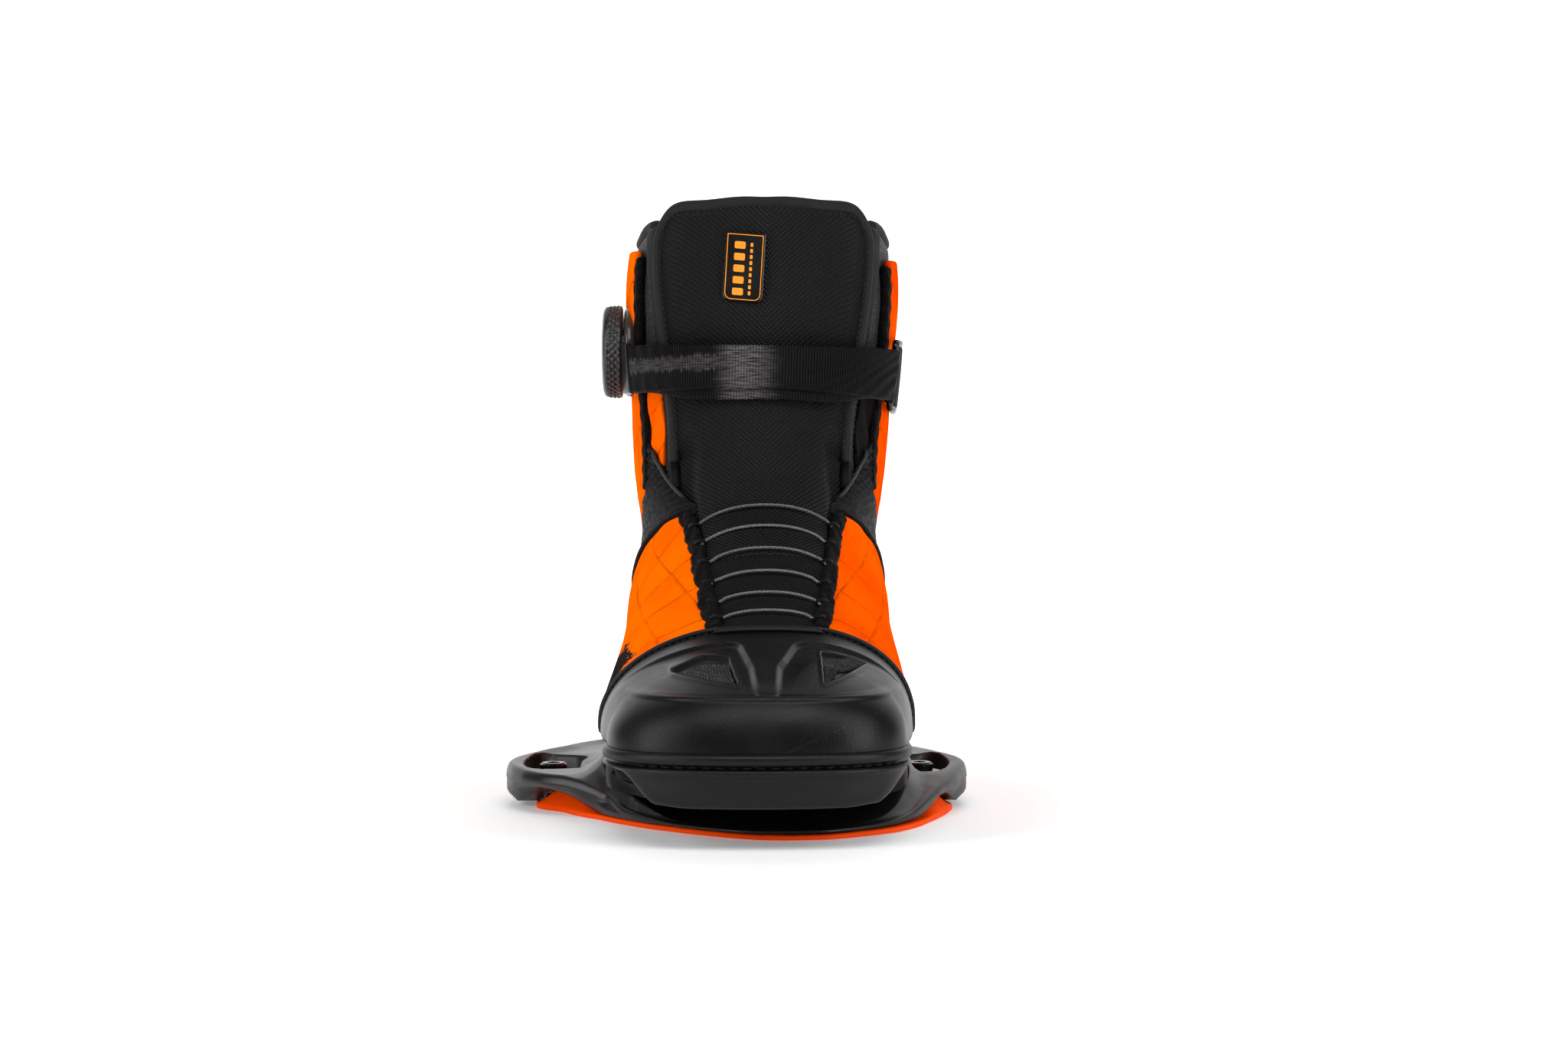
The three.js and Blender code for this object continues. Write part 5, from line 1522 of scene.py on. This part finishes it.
# Wire ring of the buckle and its plate.
there = np.linspace(68.7, 90.3, 9)
v = np.concatenate([there, there[::-1]])
z = np.concatenate([strap_high(there, 2.6), strap_low(there[::-1], 2.4)])
corners = surface(up_leg(z, v), v, lerp(3.1, 1.5, smooth(70, 90, v)))
ring_path = [lerp(p, q, t) for p, q in zip(corners, np.roll(corners, -1, axis=0))
             for t in np.linspace(0, 1, 14, endpoint=False)]
ring_path = relaxed(np.array(ring_path + [corners[0]]), 40)
ring = sweep("buckle_wire", ring_path, circle(WIRE_RADIUS, 12))
place(ring, "buckle", [DARK_STEEL], ["buckle_ring"])
plate_piece = strap_band("buckle_base_plate", 88.8, 108, 1.5, 1.5, 0.2, 3.2, columns=24, roll=(1.4,) * 4)
place(plate_piece, "cuff", [BUCKLE_PLASTIC], ["buckle_plate"])


# ------------------------------------------------------------------ dial
DIAL = (0, 73, 187)
KNURL_TURN, KNURL_PITCH, KNURL_DEPTH = 9.0, 3.2, 0.75


def on_dial(name, profile, sides=96):
    """A piece turned round the dial's axis: (radius, distance out from x = 0) pairs."""
    return lathe(name, profile, sides, DIAL, (-1, 0, 0))


housing_profile = [(0, 43.4), (17.5, 43.4), (18.9, 44.2), (19.5, 45.6), (19.5, 47.0), (18.8, 48.0),
                   (17.4, 48.5), (12.6, 48.6), (12.4, 48.2), (0, 48.2)]
housing = on_dial("dial_base", housing_profile)
place(housing, "cuff", [HOUSING], ["dial_housing"])
knob_profile = [(0, 50.8), (13, 50.8), (13, 49.4), (18.4, 49.2), (19.7, 49.5), (20.1, 50.3)]
knob_profile += [(20.2 - 0.25 * t * t, 50.3 + 5.0 * t) for t in np.linspace(0.1, 1, 14)]
knob_profile += [(19.5, 56.3), (18.6, 57.1), (16.9, 57.7), (14.0, 57.95), (9.0, 58.0), (7.7, 57.7),
                 (7.3, 56.0), (0, 56.0)]
knob = on_dial("dial_grip", knob_profile, 240)
points = np.empty(len(knob.data.vertices) * 3)
knob.data.vertices.foreach_get("co", points)
points = points.reshape(-1, 3)
level = -points[:, 0] / MM
from_axis = (points - np.array(DIAL) * MM) * [0, 1, 1]
radius = np.linalg.norm(from_axis, axis=1) / MM
turned = np.degrees(np.arctan2(from_axis[:, 2], from_axis[:, 1]))
one, two = turned / KNURL_TURN + level / KNURL_PITCH, turned / KNURL_TURN - level / KNURL_PITCH
diamonds = np.abs(np.sin(one * math.pi)) * np.abs(np.sin(two * math.pi))
band = smooth(50.2, 51.2, level) * smooth(56.2, 55.2, level) * smooth(19, 19.6, radius)
points -= from_axis / np.maximum(radius[:, None], 1) * (KNURL_DEPTH * (1 - diamonds) * band)[:, None]
knob.data.vertices.foreach_set("co", points.ravel())
place(knob, "knob", [GRIP], ["dial_knob"])
cap = on_dial("dial_centre", [(0, 56.2), (6.7, 56.2), (6.7, 57.2), (5.8, 57.8), (0, 58.0)], 64)
place(cap, "knob", [HOUSING], ["dial_cap"])


# ------------------------------------------------------------------ badge
def slab(name, outline, levels, to_world):
    """A flat plate: its outline (k, 2) is drawn in by each level's inset and set at its height. Levels that
    end where they start make a hollow frame."""
    outline = np.asarray(outline, float)
    edge = unit(np.roll(outline, -1, axis=0) - outline)
    normal = np.stack([-edge[:, 1], edge[:, 0]], 1)
    before = np.roll(normal, 1, axis=0)
    inward = (normal + before) / (1 + np.sum(normal * before, axis=1, keepdims=True))
    rings = [np.column_stack([outline + inward * inset, np.full(len(outline), height)])
             for inset, height in levels]
    return stacked(name, rings, to_world, levels[0] != levels[-1], smooth_shade=False)


def rounded(x0, z0, x1, z1, low_radius, high_radius, steps=7):
    """Outline of a rectangle with its lower and upper corners rounded, counter-clockwise."""
    points = []
    corners = ((x1, z0, low_radius, -90), (x1, z1, high_radius, 0), (x0, z1, high_radius, 90),
               (x0, z0, low_radius, 180))
    for cx, cz, radius, turn in corners:
        ox = cx - math.copysign(radius, cx - (x0 + x1) / 2)
        oz = cz - math.copysign(radius, cz - (z0 + z1) / 2)
        for t in np.linspace(0, 90, steps):
            w = math.radians(turn + t)
            points.append((ox + radius * math.cos(w), oz + radius * math.sin(w)))
    return points


badge_v = -5.6
badge_s = at_height(222.3, badge_v)
badge_origin, badge_normal = on_surface(badge_s, badge_v, 1.1)
badge_up = unit(surface(badge_s + 0.2, badge_v) - surface(badge_s - 0.2, badge_v))
badge_right = unit(np.cross(badge_up, badge_normal))
tilt = math.radians(-2.2)
badge_x = badge_right * math.cos(tilt) + badge_up * math.sin(tilt)
badge_z = badge_up * math.cos(tilt) - badge_right * math.sin(tilt)


def on_badge(p):
    """World points of points on the badge: across, up and out from its middle."""
    return badge_origin + p[:, :1] * badge_x + p[:, 1:2] * badge_z + p[:, 2:] * badge_normal


def ink_bar(x0, x1, middle, half, radius, steps):
    bar = rounded(x0, middle - half, x1, middle + half, radius, radius, steps)
    return slab("ink", bar, [(0, 1.55), (0, 1.72)], on_badge)


plate = slab("badge_plate", rounded(-8.5, -14.7, 8.5, 14.7, 3.4, 0.5), [(0, -1.0), (0, 1.1), (0.5, 1.6)],
             on_badge)
place(plate, "cuff", [GLOSS], ["tongue_badge"])
inks = [slab("ink", rounded(-7.6, -13.8, 7.6, 13.8, 2.8, 0.3),
             [(0, 1.55), (0, 1.72), (0.3, 1.72), (0.3, 1.55), (0, 1.55)], on_badge)]
inks += [ink_bar(-4.4, 0.2, 9.2 - 4.9 * k, 1.5, 0.6, 4) for k in range(5)]
inks += [ink_bar(2.3, 3.4, 9.6 - 2.55 * k, 0.8, 0.2, 3) for k in range(9)]
place(join("badge_marks", inks), "cuff", [BADGE_INK])


# ------------------------------------------------------------------ floor and light
def backdrop():
    """A white floor that curves up into a wall and glows a little, with less glow round the boot as a
    painted shadow.
    """
    profile = [(-620, 0), (600, 0), (1600, 0)]
    bend = np.linspace(0, math.pi / 2, 24)
    profile += [(1600 * (1 + math.sin(t)), 1600 * (1 - math.cos(t))) for t in bend]
    profile.append((3200, 4500))
    verts = [(x, y, z - 0.4) for y, z in profile for x in (-5000, 5000)]
    faces = [(2 * i, 2 * i + 1, 2 * i + 3, 2 * i + 2) for i in range(len(profile) - 1)]
    floor = make_object("studio_floor", verts, faces, weld=False)
    look = Look("studio_floor", 0.7, specular=0.1)
    p = look.point()
    x, y, _ = look.split(p)
    away = look.length(x, look.math("MAXIMUM", y, 0.0))
    look.set(look.shader.inputs["Emission Color"], (1.0, 1.0, 1.0))
    # Painted shadow: the glow rises from 0.165 within 100 mm of the boot to 0.88 beyond 440 mm.
    look.set(look.shader.inputs["Emission Strength"], look.remap(away, 100, 440, 0.165, 0.88))
    tint = look.mix(look.noise(p, 400, 2), (0.93, 0.93, 0.93), (0.9, 0.9, 0.9))
    floor.data.materials.append(look.done(tint, 0.7))
    return floor


backdrop()


def softbox(name, position, target, size, power):
    """A rectangular area light at position that faces target, in metres and watts."""
    lamp = bpy.data.lights.new(name, "AREA")
    lamp.shape = "RECTANGLE"
    lamp.size, lamp.size_y = size
    lamp.energy = power
    o = bpy.data.objects.new(name, lamp)
    o.location = position
    direction = Vector(target) - Vector(position)
    o.rotation_euler = direction.to_track_quat("-Z", "Y").to_euler()
    bpy.context.scene.collection.objects.link(o)


softbox("key_top", (0.1, -0.9, 1.3), (0, 0, 0.1), (1.1, 0.8), 12)
softbox("left_strip", (-1.1, -0.8, 0.55), (0, 0, 0.1), (0.5, 1.2), 12)
softbox("right_strip", (1.1, -0.8, 0.55), (0, 0, 0.1), (0.5, 1.2), 11)
softbox("backdrop_wash", (0, 1.0, 2.2), (0, 2.6, 0.6), (2.5, 1.0), 15)

world = bpy.data.worlds.new("studio")
world.use_nodes = True
world.node_tree.nodes["Background"].inputs[0].default_value = (1, 1, 1, 1)
world.node_tree.nodes["Background"].inputs[1].default_value = 0.04
bpy.context.scene.world = world
